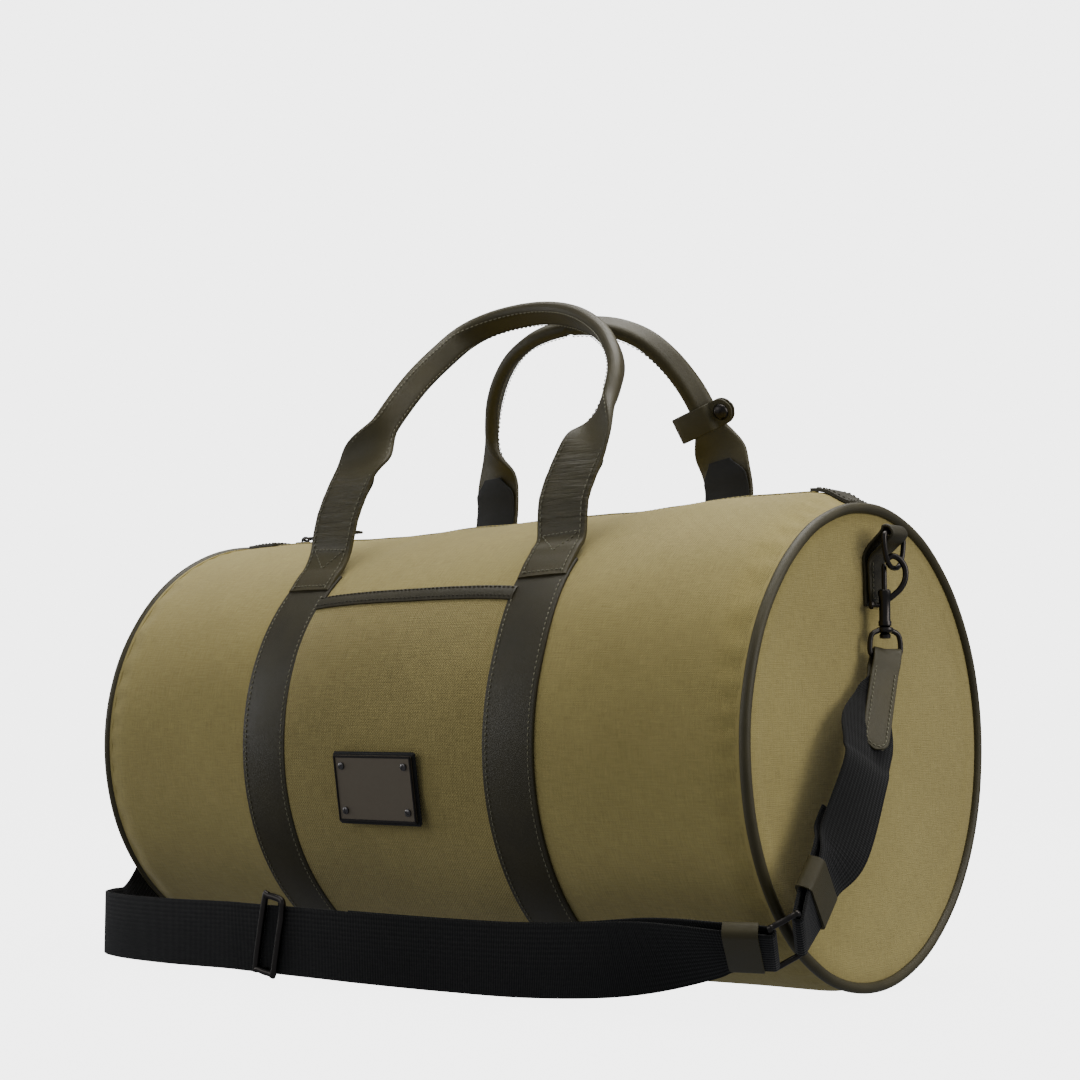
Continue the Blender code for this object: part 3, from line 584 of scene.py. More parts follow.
def floor_at(x):
    """How far the cloth stays off the floor: more under the straps and towards the ends."""
    near = math.exp(-((abs(x) - STRAP_X) / 0.022) ** 8)
    return 0.0004 + 0.0026 * near + 0.0030 * ease(FULL_X, PIPE_X, abs(x))


def rest(z, floor):
    """Lets the underside settle on the floor with a soft turn into the flat."""
    soft = 0.0016
    return z if z - floor > 30 * soft else floor + soft * math.log1p(math.exp((z - floor) / soft))


def strap_x(side, degrees):
    """A body strap's middle: the right one is drawn a little to the left above the pocket."""
    return side * STRAP_X - (0.0045 * ease(18, 52, degrees) if side > 0 else 0.0)


def on_canvas(x, degrees, off=0.0, floor=None):
    """A place on the barrel, at degrees up from the front, lifted off the cloth by off."""
    a = math.radians(degrees)
    radius = canvas_radius(x, a) + off
    low = max(floor_at(x) - off, 0.0003) if floor is None else floor
    return Vector((x, -radius * math.cos(a), rest(AXIS_Z + radius * math.sin(a), low)))


def out_at(degrees):
    a = math.radians(degrees)
    return Vector((0, -math.cos(a), math.sin(a)))


def build_barrel():
    """The outer cloth and a seamed cut at the mouth, with a thin inner face."""
    xs = [-PIPE_X + 2 * PIPE_X * i / 150 for i in range(151)]
    mouth = math.degrees(math.asin(0.0062 / BODY_R))
    turns = [90 + mouth + (360 - 2 * mouth) * i / 300 for i in range(301)]
    rows, uv_rows = [], []
    for x in xs:
        outer = [on_canvas(x, d) for d in turns]
        inner = [on_canvas(x, d, -0.0018, floor_at(x) + 0.0018) for d in reversed(turns)]
        rows.append(outer + inner)
        arcs = [math.radians(d) * BODY_R for d in turns]
        uv_rows.append([(x, v) for v in arcs] + [(x, v) for v in reversed(arcs)])
    put(skin("canvas_barrel", rows, CANVAS, True, False, uv_rows), "bag", "canvas", "barrel_canvas")


def build_mouth_seams():
    """The cloth's turned edges along the zip, each with a stitch row."""
    spots = []
    for sign, name in ((1, "back"), (-1, "front")):
        line = [on_canvas(-0.204 + 0.408 * i / 80, 90 + sign * 4.6, 0.0002) for i in range(81)]
        ups = [out_at(90 + sign * 4.6)] * 81
        spots += stitch_spots(line, ups)
        centre = [on_canvas(-0.206 + 0.412 * i / 60, 90 + sign * 3.0, 0.0000) for i in range(61)]
        put(tube("mouth_fold_" + name, centre, 0.0010, CANVAS, 1, 8), "bag", "canvas")
    put(repeat("mouth_stitches", spots, STITCH, THREAD), "bag", "canvas")


def build_ends():
    """Each round end: a slightly swollen cloth disc, a leather piping cord and the folded welt beside it."""
    for side in (1, -1):
        rows, uv_rows = [], []
        shares = [i / 26 for i in range(27)]
        for share in shares:
            radius = (END_R + 0.0012) * share
            swell = 0.0018 * (1 - share**2) + 0.0008 * math.exp(-((share - 0.93) / 0.04) ** 2)
            row, uv_row = [], []
            for k in range(180):
                a = 2 * math.pi * k / 180
                y, z = -radius * math.cos(a), rest(AXIS_Z + radius * math.sin(a), 0.0036)
                lump = noise.noise(Vector((side * 3, y * 11, z * 11))) * 0.0016 * (1 - share**4)
                row.append(Vector((side * (PIPE_X - 0.0008 + swell + lump), y, z)))
                uv_row.append((y, z))
            rows.append(row)
            uv_rows.append(uv_row)
        put(skin("end_cloth_" + NAMES[side], rows, CANVAS, True, False, uv_rows), "bag", "canvas",
            "end_panel_" + NAMES[side])
        rings = []
        for k in range(240):
            a = 2 * math.pi * k / 240
            wobble = 0.00035 * noise.noise(Vector((7 * side, 4 * math.cos(a), 4 * math.sin(a))))
            centre = Vector((side * PIPE_X, -(END_R + wobble) * math.cos(a),
                             max(AXIS_Z + (END_R + wobble) * math.sin(a), PIPE_R + 0.0002)))
            out = Vector((0, -math.cos(a), math.sin(a)))
            rings.append([centre + PIPE_R * (math.cos(t) * X * side + math.sin(t) * out)
                          for t in (2 * math.pi * i / 14 for i in range(14))])
        put(skin("piping_cord_" + NAMES[side], rings, PIPING, True, True), "bag", "leather",
            "piping_" + NAMES[side])
        welt = [[Vector((side * (PIPE_X - 0.0046 + d), -(END_R + h) * math.cos(a),
                         max(AXIS_Z + (END_R + h) * math.sin(a), 0.0012)))
                 for d, h in ((0, 0.0006), (0, 0.0015), (0.003, 0.0015), (0.003, 0.0002))]
                for a in (2 * math.pi * k / 180 for k in range(180))]
        put(skin("piping_welt_" + NAMES[side], welt, CANVAS, True, True), "bag", "canvas")


def build_inside():
    """The plain lining and the stiff base board, which keep their frame shapes."""
    for node, mat, slot_name in (("lining", LINING, "lining_fabric"), ("base_board", BOARD, "board")):
        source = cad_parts[node]
        copy = bpy.data.objects.new("inner_" + node, source.data.copy())
        bpy.context.scene.collection.objects.link(copy)
        copy.data.materials.clear()
        copy.data.materials.append(mat)
        put(copy, "bag", slot_name, node)


def build_straps():
    """The two leather straps round the barrel, stitched along both edges."""
    spots = []
    for side in (1, -1):
        turns = [131 + (409 - 131) * i / 150 for i in range(151)]
        points = [on_canvas(strap_x(side, d - 360 if d > 270 else 0), d, 0.0002 + LEATHER_T / 2,
                            LEATHER_T / 2 + 0.0002) for d in turns]
        across = [X] * len(points)
        put(band("leather_strap_" + NAMES[side], points, across, STRAP_W, LEATHER_T, HIDE), "bag", "leather",
            "body_strap_" + NAMES[side])
        spots += edge_spots(points, across, STRAP_W, LEATHER_T, 0.0028, keep=(4, 147), face_sign=-1)
    put(repeat("strap_stitches", spots, STITCH, THREAD), "bag", "leather")


def build_pocket():
    """The flat pocket between the straps, with a rolled leather edge at its mouth."""
    half = STRAP_X - STRAP_W / 2 + 0.0006
    top = 36.6
    xs = [-half + 2 * half * i / 60 for i in range(61)]
    turns = [-67 + (top + 67) * i / 80 for i in range(81)]

    def rise(x, d):
        """The pocket's upper edge stands a little off the barrel, most in the middle."""
        return 0.0004 + 0.0012 * ease(5, top, d) * (1 - (x / half) ** 4)

    rows = [[on_canvas(x, d, rise(x, d) + 0.0010) for d in turns]
            + [on_canvas(x, d, rise(x, d)) for d in reversed(turns)] for x in xs]
    arcs = [math.radians(d) * BODY_R for d in turns]
    uv_rows = [[(x, v) for v in arcs] + [(x, v) for v in reversed(arcs)] for x in xs]
    put(skin("pocket_cloth", rows, POCKET, True, False, uv_rows), "bag", "canvas", "pocket_panel")
    rows, spots = [], []
    for x in xs:
        arch = 0.5 * (1 - (x / half) ** 2)
        profile = [(top - 0.6, 0.0014), (top - 0.5, 0.0034), (top + 0.6, 0.0040), (top + 2.9, 0.0038),
                   (top + 3.6, 0.0030), (top + 3.7, 0.0016), (top + 3.2, 0.0008), (top, 0.0006)]
        rows.append([on_canvas(x, d + arch, off + rise(x, top) - 0.0014) for d, off in profile])
    put(skin("pocket_edge", rows, HIDE, True), "bag", "leather", "pocket_binding")
    for d in (0.3, 2.9):
        line = [on_canvas(x, top + d + 0.5 * (1 - (x / half) ** 2), rise(x, top) + 0.0025) for x in xs]
        spots += stitch_spots(line, [out_at(top + d)] * len(line), 0.0030)
    put(repeat("pocket_stitches", spots, STITCH, DARK_THREAD), "bag", "leather")


def build_badge():
    """A framed metal plate, left plain, on a leather patch."""
    low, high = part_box("badge_plate")
    centre = (Vector(low) + Vector(high)) / 2
    a = math.radians(-9.5)
    out = Vector((0, -math.cos(a), math.sin(a)))
    turn = Matrix.Rotation(math.radians(90) - a, 4, "X")
    up = turn @ Y
    width = high[0] - low[0] + 0.0066
    height = 0.0405
    back = block("badge_patch", centre - out * 0.0016, (width, height, 0.0022), BLACK_HIDE, 0.0009, turn)
    put(back, "bag", "dark_leather", "badge_backing")
    plate = block("badge_metal", centre, (width - 0.0032, height - 0.0034, 0.0014), PLATE, 0.0006, turn)
    rims = []
    for sx, sy, w, h in ((0, 1, width - 0.0034, 0.0012), (0, -1, width - 0.0034, 0.0012),
                         (1, 0, 0.0012, height - 0.0036), (-1, 0, 0.0012, height - 0.0036)):
        spot = centre + X * sx * (width / 2 - 0.0024) + up * sy * (height / 2 - 0.0025) + out * 0.0007
        rims.append(block("badge_rim", spot, (w, h, 0.0012), BLACK_METAL, 0.00035, turn))
    put(merged("badge_plate_framed", [plate] + rims), "bag", "gunmetal", "badge_plate")
    for number in range(1, 5):
        slo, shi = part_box(f"badge_screw_{number}")
        spot = (Vector(slo) + Vector(shi)) / 2 - out * 0.0006
        head = turned(f"badge_rivet_{number}", spot, spot + out * 0.0012,
                      ((0, 0.0021), (0.5, 0.0021), (0.85, 0.0016), (1.0, 0.0006)), GUNMETAL)
        # The slot is not cut in: a darker metal bar on the head is painted shade for the slot.
        cut = block("rivet_slot", spot + out * 0.0011, (0.0030, 0.0005, 0.0004), BLACK_METAL, 0.0001,
                    turn @ Matrix.Rotation(0.6 * number, 4, "Z"), 1)
        put(merged(f"badge_rivet_{number}", [head, cut]), "bag", "gunmetal", f"badge_screw_{number}")


# ---------------------------------------------------------------- zip

TAPE_Z, TOOTH_Z = 0.2590, 0.2597
ZIP_HALF, TOOTH_PITCH, TOOTH_COUNT = 0.204, 0.0020, 204


def build_zip():
    """Tapes, teeth, runner, pull and end tabs. The teeth run dead straight, so that the runner can follow."""
    xs = [ZIP_HALF * (i / 50 - 1) for i in range(101)]
    slo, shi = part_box("zip_slider")
    zip_line = along_line(TOP_LINE, (slo[0] + shi[0]) / 2)
    for sign, name in ((-1, "front"), (1, "back")):
        rows = [[Vector((x, sign * y, TAPE_Z + z + (zip_line if y < 0.008 else along_line(TOP_LINE, x))))
                 for y, z in ((0.0012, 0), (0.0054, 0), (0.0130, -0.0002), (0.0130, -0.0009),
                              (0.0054, -0.0006), (0.0012, -0.0006))] for x in xs]
        uv_rows = [[(y - 0.006, x) for y in (0.0012, 0.0054, 0.0130, 0.0130, 0.0054, 0.0012)] for x in xs]
        tape = skin("zip_cloth_" + name, rows, ZIP_TAPE, True, False, uv_rows)
        piece = block("tooth_piece", (0, 0, 0), (0.0011, 0.0026, 0.0015), GUNMETAL, 0.0003, segments=1)
        spots = [(Vector((x + sign * 0.0005, sign * 0.0015, zip_line + TOOTH_Z)), X, Z)
                 for x in (0.001 - ZIP_HALF + TOOTH_PITCH * i for i in range(TOOTH_COUNT))]
        teeth = repeat("zip_teeth_" + name, spots, piece, GUNMETAL)
        bpy.data.objects.remove(piece, do_unlink=True)
        put(tape, "bag", "zip_tape", "zip_tape_" + name)
        put(teeth, "bag", "gunmetal")
    slo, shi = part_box("zip_slider")
    x, top = (slo[0] + shi[0]) / 2, shi[2]
    base = top - 0.0053
    body = [block("slider_plate", (x, 0, base + 0.0011), (0.0112, 0.0088, 0.0015), GUNMETAL, 0.0006),
            block("slider_under", (x, 0, base - 0.0030), (0.0100, 0.0080, 0.0010), GUNMETAL, 0.0004),
            tube("slider_bridge", [(x - 0.0030, 0, base + 0.0012), (x - 0.0027, 0, base + 0.0040),
                                   (x, 0, base + 0.0050), (x + 0.0027, 0, base + 0.0040),
                                   (x + 0.0030, 0, base + 0.0012)], 0.0007, GUNMETAL)]
    put(merged("zip_runner", body), "zip_slider", "gunmetal", "zip_slider")
    plo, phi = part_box("zip_pull_tab")
    mid, z = (plo[1] + phi[1]) / 2, phi[2] - 0.0007
    around = [(0.0006, -0.0020, -0.0012), (0.0006, 0.0020, -0.0012), (0.0020, 0.0030, -0.0004),
              (0.0080, 0.0026, 0), (0.0100, 0, 0), (0.0080, -0.0026, 0), (0.0020, -0.0030, -0.0004)]
    ring = tube("pull_ring", [(plo[0] + a, mid + b, z + c) for a, b, c in around], 0.0007, GUNMETAL, 4, 10, True)
    bar = block("pull_bar", (plo[0] + 0.0190, mid, z), (0.0220, 0.0060, 0.0013), GUNMETAL, 0.0005)
    put(merged("zip_pull_metal", [ring, bar]), "zip_pull", "gunmetal", "zip_pull_tab")
    llo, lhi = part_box("zip_pull_leather")
    put(block("zip_pull_hide", ((llo[0] + lhi[0]) / 2, 0, (llo[2] + lhi[2]) / 2),
              (lhi[0] - llo[0], lhi[1] - llo[1], 0.0018), HIDE, 0.0007), "zip_pull", "leather", "zip_pull_leather")
    for side in (1, -1):
        tlo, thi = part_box("zip_end_tab_" + NAMES[side])
        centre_x = (tlo[0] + thi[0]) / 2
        rows, lines = [], []
        for k in range(17):
            x = centre_x + 0.0115 * (k / 8 - 1)
            lift = 0.0006
            low_row = [on_canvas(x, 90 + d, lift) for d in (-5.9 + 11.8 * i / 12 for i in range(13))]
            high_row = [on_canvas(x, 90 + d, lift + 0.0018) for d in (5.7 - 11.4 * i / 12 for i in range(13))]
            rows.append(low_row + high_row)
        put(skin("zip_end_hide_" + NAMES[side], rows, HIDE, True), "bag", "leather", "zip_end_tab_" + NAMES[side])
        for d in (-4.6, 4.6):
            line = [on_canvas(centre_x + 0.0090 * (k / 6 - 1), 90 + d, 0.0025) for k in range(13)]
            lines += stitch_spots(line, [out_at(90 + d)] * 13)
        for x in (centre_x - 0.0092, centre_x + 0.0092):
            line = [on_canvas(x, 90 - 4.6 + 9.2 * k / 8, 0.0025) for k in range(9)]
            lines += stitch_spots(line, [Z] * 9)
        put(repeat("zip_end_stitches_" + NAMES[side], lines, STITCH, DARK_THREAD), "bag", "leather")


# ---------------------------------------------------------------- handles

FRONT_KEYS = [
    (-0.0885, -0.0738, 0.2660), (-0.0832, -0.0680, 0.2870), (-0.0768, -0.0585, 0.3070),
    (-0.0705, -0.0455, 0.3300), (-0.0660, -0.0275, 0.3525), (-0.0600, -0.0095, 0.3710),
    (-0.0530, 0.0055, 0.3850), (-0.0370, 0.0150, 0.3935), (-0.0110, 0.0180, 0.3960),
    (0.0150, 0.0140, 0.3925), (0.0400, 0.0040, 0.3840), (0.0650, -0.0110, 0.3705),
    (0.0815, -0.0240, 0.3570), (0.0920, -0.0355, 0.3425), (0.0960, -0.0480, 0.3240),
    (0.0945, -0.0590, 0.3060), (0.0882, -0.0675, 0.2870), (0.0835, -0.0738, 0.2660),
]
REAR_KEYS = [
    (-0.0890, 0.0790, 0.2650), (-0.0880, 0.0802, 0.2850), (-0.0882, 0.0785, 0.3040),
    (-0.0875, 0.0735, 0.3230), (-0.0820, 0.0665, 0.3405), (-0.0730, 0.0588, 0.3545),
    (-0.0600, 0.0505, 0.3670), (-0.0430, 0.0425, 0.3775), (-0.0220, 0.0372, 0.3850),
    (0.0050, 0.0350, 0.3885), (0.0260, 0.0362, 0.3870), (0.0430, 0.0395, 0.3830),
    (0.0570, 0.0452, 0.3755), (0.0680, 0.0525, 0.3640), (0.0755, 0.0605, 0.3510),
    (0.0805, 0.0675, 0.3380), (0.0845, 0.0735, 0.3230), (0.0890, 0.0785, 0.3050),
    (0.0935, 0.0805, 0.2850), (0.0930, 0.0788, 0.2650),
]


def handle_path(keys, sign):
    """A handle's middle line from its left sewn end, over the arch, to the right one."""
    def sewn(side):
        spots = [on_canvas(strap_x(side, d), d, 0.0002 + LEATHER_T + lift)
                 for d, lift in ((43.0, 0.0006), (46.0, 0.0010), (49.0, 0.0014), (51.6, 0.0024))]
        loose = Vector((strap_x(side, 55) - 0.0010 * (side > 0), sign * -0.0775, 0.2452))
        return [Vector((p.x, sign * p.y, p.z)) for p in spots] + [loose]
    return smooth_path(sewn(-1) + [Vector(k) for k in keys] + list(reversed(sewn(1))), 7)


def leg_shape(run):
    """Width, thickness and corner radius at a distance from the sewn end."""
    t = ease(0.092, 0.120, run)
    root = 1 - ease(0.024, 0.050, run)
    thin = 0.0015 * (1 - ease(0.0, 0.014, run))
    return (0.0336 - 0.0014 * root) * (1 - t) + 0.0168 * t, 0.0028 - thin + 0.0062 * t, 0.0005 + 0.0039 * t


def build_handle(which, keys):
    """One carry handle: flat creased legs that fold in to a rounded grip, with dark linings inside."""
    front = which == "front"
    sign = 1 if front else -1
    body = which + "_handle"
    path = handle_path(keys, sign)
    run = lengths(path)
    near = [min(v, run[-1] - v) for v in run]
    rows, uv_rows, spine = [], [], []
    for i, (point, along) in enumerate(zip(path, directions(path))):
        before, after = path[max(i - 2, 0)], path[min(i + 2, len(path) - 1)]
        rise = Vector((0, after.y - before.y, after.z - before.z))
        if rise.z < 0:
            rise = -rise
        flat = ease(0.090, 0.150, near[i])
        rise = rise.normalized().lerp(Vector((0, -0.30 * sign, 1)).normalized(), flat * 0.8)
        face = Vector((0, -rise.z, rise.y))
        face = (face - face.dot(along) * along).normalized()
        side = along.cross(face).normalized()
        roll = sign * math.radians(52) * ease(0.080, 0.125, near[i])
        face, side = face * math.cos(roll) + side * math.sin(roll), side * math.cos(roll) - face * math.sin(roll)
        width, thick, corner = leg_shape(near[i])
        fold = math.exp(-((near[i] - 0.092) / 0.012) ** 2)
        ripple = 0.00030 * math.sin(near[i] * 1450 + 2 * math.sin(near[i] * 160))
        ripple *= ease(0.030, 0.040, near[i]) * (1 - ease(0.066, 0.084, near[i]))
        outline = rounded(width, thick, corner, 4)
        filled = []  # the outline with more points along its two wide sides
        for k, (u, v) in enumerate(outline):
            filled.append((u, v))
            if k in (4, 14):
                nu, nv = outline[k + 1]
                filled += [(u + (nu - u) * m / 8, v + (nv - v) * m / 8) for m in range(1, 8)]
        row = []
        for u, v in filled:
            share = 2 * u / width
            cup = sign * (0.0034 * fold * (share**2 - 0.4) - 0.0004 * (1 - flat) * share**2)
            row.append(point + side * u + face * (v + cup + ripple * (1 - 0.5 * share**2)))
        rows.append(row)
        uv_rows.append([(u, near[i]) for u, _ in filled])
        spine.append((point, side, face, width, thick))
    strip = skin(f"{which}_handle_hide", rows, HANDLE, True, False, uv_rows)
    spots = []
    for edge in (1, -1):
        line, ups = [], []
        for point, side, face, width, thick in spine:
            inset = 0.0028 if width > 0.028 else 0.0022
            line.append(point + side * edge * (width / 2 - inset) + face * (thick / 2) * sign)
            ups.append(face * sign)
        spots += stitch_spots(line, ups)

    def on_leg(u, v, end):
        """A place on the outer face, u across and v up from the sewn end."""
        goal = v if end > 0 else run[-1] - v
        i = min(range(len(run)), key=lambda k: abs(run[k] - goal))
        point, side, face, _, thick = spine[i]
        fix = directions(path)[i] * (goal - run[i])
        return point + fix + side * u + face * (thick / 2) * sign, face * sign

    for end in (1, -1):
        for a, b in (((-0.0118, 0.0315), (0, 0.0180)), ((0, 0.0180), (0.0118, 0.0315)),
                     ((-0.0118, 0.0318), (0.0118, 0.0318)), ((-0.0138, 0.0030), (0.0138, 0.0030))):
            found = [on_leg(a[0] + (b[0] - a[0]) * k / 8, a[1] + (b[1] - a[1]) * k / 8, end) for k in range(9)]
            spots += stitch_spots([f[0] for f in found], [f[1] for f in found], 0.0030)
    stitches = repeat(f"{which}_handle_stitches", spots, STITCH, THREAD)
    for piece, nodes in ((strip, [body, f"handle_end_{which}_left", f"handle_end_{which}_right"]), (stitches, [])):
        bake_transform(piece)
        if nodes:
            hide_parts(*nodes)
    for tag, end in (("left", 1), ("right", -1)):
        picks = [i for i in range(len(path)) if 0.036 < near[i] < 0.093 and (run[i] < run[-1] / 2) == (end > 0)]
        middle = []
        for i in picks:
            point, _, face, _, thick = spine[i]
            gap = 0.0008 + 0.0016 * ease(0.064, 0.088, near[i])
            middle.append(point - face * (thick / 2 + gap) * sign)
        widths = [spine[i][3] - 0.0024 - 0.0180 * ease(0.078, 0.093, near[i]) for i in picks]
        lining = band(f"{which}_leg_lining_{tag}", middle, [spine[i][1] for i in picks], widths, 0.0010, BLACK_HIDE)
        put(lining, body, "dark_leather", f"{which}_handle_lining_{tag}")


WRAP_ALONG = Vector((-0.28, -0.36, 0.89)).normalized()


def build_wrap():
    """The snap wrap on the rear handle's right leg."""
    lows, highs = zip(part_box("handle_wrap_back"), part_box("handle_wrap_flap"))
    middle = (Vector(lows[0]) + Vector(lows[1]) + Vector(highs[0]) + Vector(highs[1])) / 4
    out = -Y
    out = (out - out.dot(WRAP_ALONG) * WRAP_ALONG).normalized()
    across = WRAP_ALONG.cross(out).normalized() * -1
    at = middle + across * 0.0062
    for name, sign, body in (("back", -1, "rear_handle"), ("flap", 1, "wrap_flap")):
        keys = [(0.0163, 0.0018), (0.0152, 0.0046), (0.0112, 0.0068), (0.0030, 0.0074), (-0.0060, 0.0062),
                (-0.0095, 0.0030), (-0.0115, 0.0020), (-0.0230, 0.0018)]
        path = smooth_path([tuple(at + across * u + out * sign * v) for u, v in keys], 8)
        run = lengths(path)
        widths = [0.0165 * math.sqrt(max(1 - max(0, (r - run[-1] + 0.0078) / 0.0080) ** 2, 0.02)) for r in run]
        piece = band("wrap_hide_" + name, path, [WRAP_ALONG] * len(path), widths, 0.0016, KEEPER)
        put(piece, body, "leather", "handle_wrap_" + name)
    centre = at - across * 0.0160
    cap = turned("wrap_snap_cap", centre + out * 0.0024, centre + out * 0.0056,
                 ((0, 0.0050), (0.25, 0.0050), (0.6, 0.0044), (0.85, 0.0030), (1, 0.0008)), BLACK_METAL)
    put(cap, "wrap_flap", "gunmetal", "snap_cap")
    stud = turned("wrap_snap_stud", centre - out * 0.0012, centre + out * 0.0006,
                  ((0, 0.0042), (0.4, 0.0042), (0.5, 0.0022), (1, 0.0026)), BLACK_METAL)
    put(stud, "rear_handle", "gunmetal", "snap_stud")


# ---------------------------------------------------------------- end rings and hooks

LOOP_Z = 0.2430
RING_X = (RING_LOW[0] + RING_HIGH[0]) / 2
RING_HALF_W = (RING_HIGH[1] - RING_LOW[1]) / 2 - 0.0015
HOOK_TOP_Z = HOOK_HIGH[2] - 0.0018
BARREL_TOP = HOOK_TOP_Z - 0.0165
EYE_Z = BARREL_TOP - 0.0214 - 0.0138
HOOK_TURN = math.radians(45)


def hook_axes(side):
    """The way that a hook's loop points, and the foot of its upright axis."""
    return (Vector((side * math.cos(HOOK_TURN), math.sin(HOOK_TURN), 0)),
            Vector((side * 0.2435, -0.0039, 0)))


def eye_across(side):
    a = math.radians(62)
    return Vector((side * math.cos(a), math.sin(a), 0))


def build_ring(side):
    """A leather tab on the end cloth that holds a wire ring."""
    wall = PIPE_X + 0.0016
    r = 0.0034
    keys = [(wall, 0.2045), (wall, 0.2200), (wall + 0.0002, 0.2330), (RING_X - r, LOOP_Z + 0.0006),
            (RING_X - 0.0020, LOOP_Z + r), (RING_X + 0.0014, LOOP_Z + r - 0.0003),
            (RING_X + r, LOOP_Z - 0.0004), (RING_X + 0.0012, LOOP_Z - r + 0.0002),
            (RING_X - 0.0036, LOOP_Z - 0.0072), (wall + 0.0030, 0.2290), (wall + 0.0028, 0.2180),
            (wall + 0.0028, 0.2065)]
    path = smooth_path([(side * x, 0, z) for x, z in keys], 8)
    name = NAMES[side]
    run = lengths(path)
    width = [0.0168 * (1 - 0.12 * ease(run[-1] - 0.008, run[-1], v)) for v in run]
    put(band("ring_hide_" + name, path, [Y] * len(path), width, 0.0018, HIDE), "bag", "leather", "ring_tab_" + name)
    low = LOOP_Z - 0.0185
    w = RING_HALF_W
    ring = [(side * RING_X, y, z) for y, z in (
        (-w + 0.003, LOOP_Z), (0.0, LOOP_Z), (w - 0.003, LOOP_Z), (w, LOOP_Z - 0.0016),
        (w, LOOP_Z - 0.0070), (w * 0.80, low + 0.0048), (w * 0.45, low + 0.0010), (0.0, low),
        (-w * 0.45, low + 0.0010), (-w * 0.80, low + 0.0048), (-w, LOOP_Z - 0.0070), (-w, LOOP_Z - 0.0016))]
    put(tube("end_ring_" + name, ring, 0.0014, BLACK_METAL, 6, 14, True), "d_ring_" + name, "gunmetal",
        "d_ring_" + name)
    spots = []
    for edge in (1, -1):
        line = [Vector((side * (wall + 0.0038), edge * 0.0056, 0.2085 + 0.0190 * k / 8)) for k in range(9)]
        spots += stitch_spots(line, [X * side] * 9, 0.0028)
    line = [Vector((side * (wall + 0.0038), 0.0056 * (k / 4 - 1), 0.2085)) for k in range(9)]
    spots += stitch_spots(line, [X * side] * 9, 0.0028)
    put(repeat("ring_stitches_" + name, spots, STITCH, THREAD), "bag", "leather")


def build_hook(side):
    """A swivel snap hook: loop, barrel and neck, the sliding bolt with its thumb knob, and the eye."""
    point, foot = hook_axes(side)
    name = NAMES[side]
    top = BARREL_TOP

    def at(u, z):
        return foot + point * u + Vector((0, 0, z))

    loop = tube("hook_loop", [
        at(0.0010, top - 0.0060), at(0.0050, top - 0.0030), at(0.0088, top + 0.0005), at(0.0114, top + 0.0055),
        at(0.0114, HOOK_TOP_Z - 0.0050), at(0.0085, HOOK_TOP_Z - 0.0004), at(0.0045, HOOK_TOP_Z + 0.0012),
        at(0.0008, HOOK_TOP_Z - 0.0012)], 0.0016, BLACK_METAL, 8)
    barrel = turned("hook_barrel", at(0, top - 0.0200), at(0, top), (
        (0.0, 0.0020), (0.04, 0.0034), (0.14, 0.0035), (0.18, 0.0030), (0.80, 0.0030), (0.84, 0.0034),
        (0.96, 0.0034), (1.0, 0.0026)), BLACK_METAL)
    neck = turned("hook_neck", at(0, top - 0.0262), at(0, top - 0.0195), (
        (0, 0.0010), (0.05, 0.0028), (0.3, 0.0030), (0.45, 0.0024), (0.5, 0.0015), (1, 0.0015)), BLACK_METAL)
    put(merged("hook_" + name, [loop, barrel, neck]), "hook_" + name, "gunmetal", "hook_body_" + name)
    bolt = turned("bolt", at(0, top - 0.0040), at(0, HOOK_TOP_Z - 0.0030),
                  ((0, 0.0014), (0.9, 0.0014), (1, 0.0009)), BLACK_METAL)
    stem = turned("thumb_stem", at(-0.0022, top - 0.0084), at(-0.0066, top - 0.0084),
                  ((0, 0.0010), (1, 0.0009)), BLACK_METAL, 16)
    knob = turned("thumb_knob", at(-0.0060, top - 0.0084), at(-0.0084, top - 0.0084),
                  ((0, 0.0010), (0.2, 0.0021), (0.6, 0.0023), (0.9, 0.0018), (1, 0.0006)), BLACK_METAL, 24)
    put(merged("hook_bolt_" + name + "_look", [bolt, stem, knob]), "hook_bolt_" + name, "gunmetal",
        "hook_bolt_" + name)
    across = eye_across(side)
    high = foot + Z * (top - 0.0214)
    collar = turned("eye_collar", high - Z * 0.0016, high + Z * 0.0016, (
        (0, 0.0030), (0.15, 0.0042), (0.5, 0.0046), (0.85, 0.0042), (1, 0.0030)), BLACK_METAL)
    eye = tube("eye_wire", [
        high - across * 0.0034, high - across * 0.0085 - Z * 0.0030, high - across * 0.0095 - Z * 0.0110,
        high - across * 0.0070 - Z * 0.0136, high - Z * 0.0138, high + across * 0.0070 - Z * 0.0136,
        high + across * 0.0095 - Z * 0.0110, high + across * 0.0085 - Z * 0.0030, high + across * 0.0034],
        0.0014, BLACK_METAL, 6)
    put(merged("swivel_" + name, [collar, eye]), "bag", "gunmetal", "swivel_eye_" + name)


def strap_end_axis(side):
    """Where the eye's bar is, and the way that the strap's leather end hangs from it."""
    return hook_axes(side)[1] + Z * EYE_Z, Vector((side * 0.170, -0.570, -0.800)).normalized()


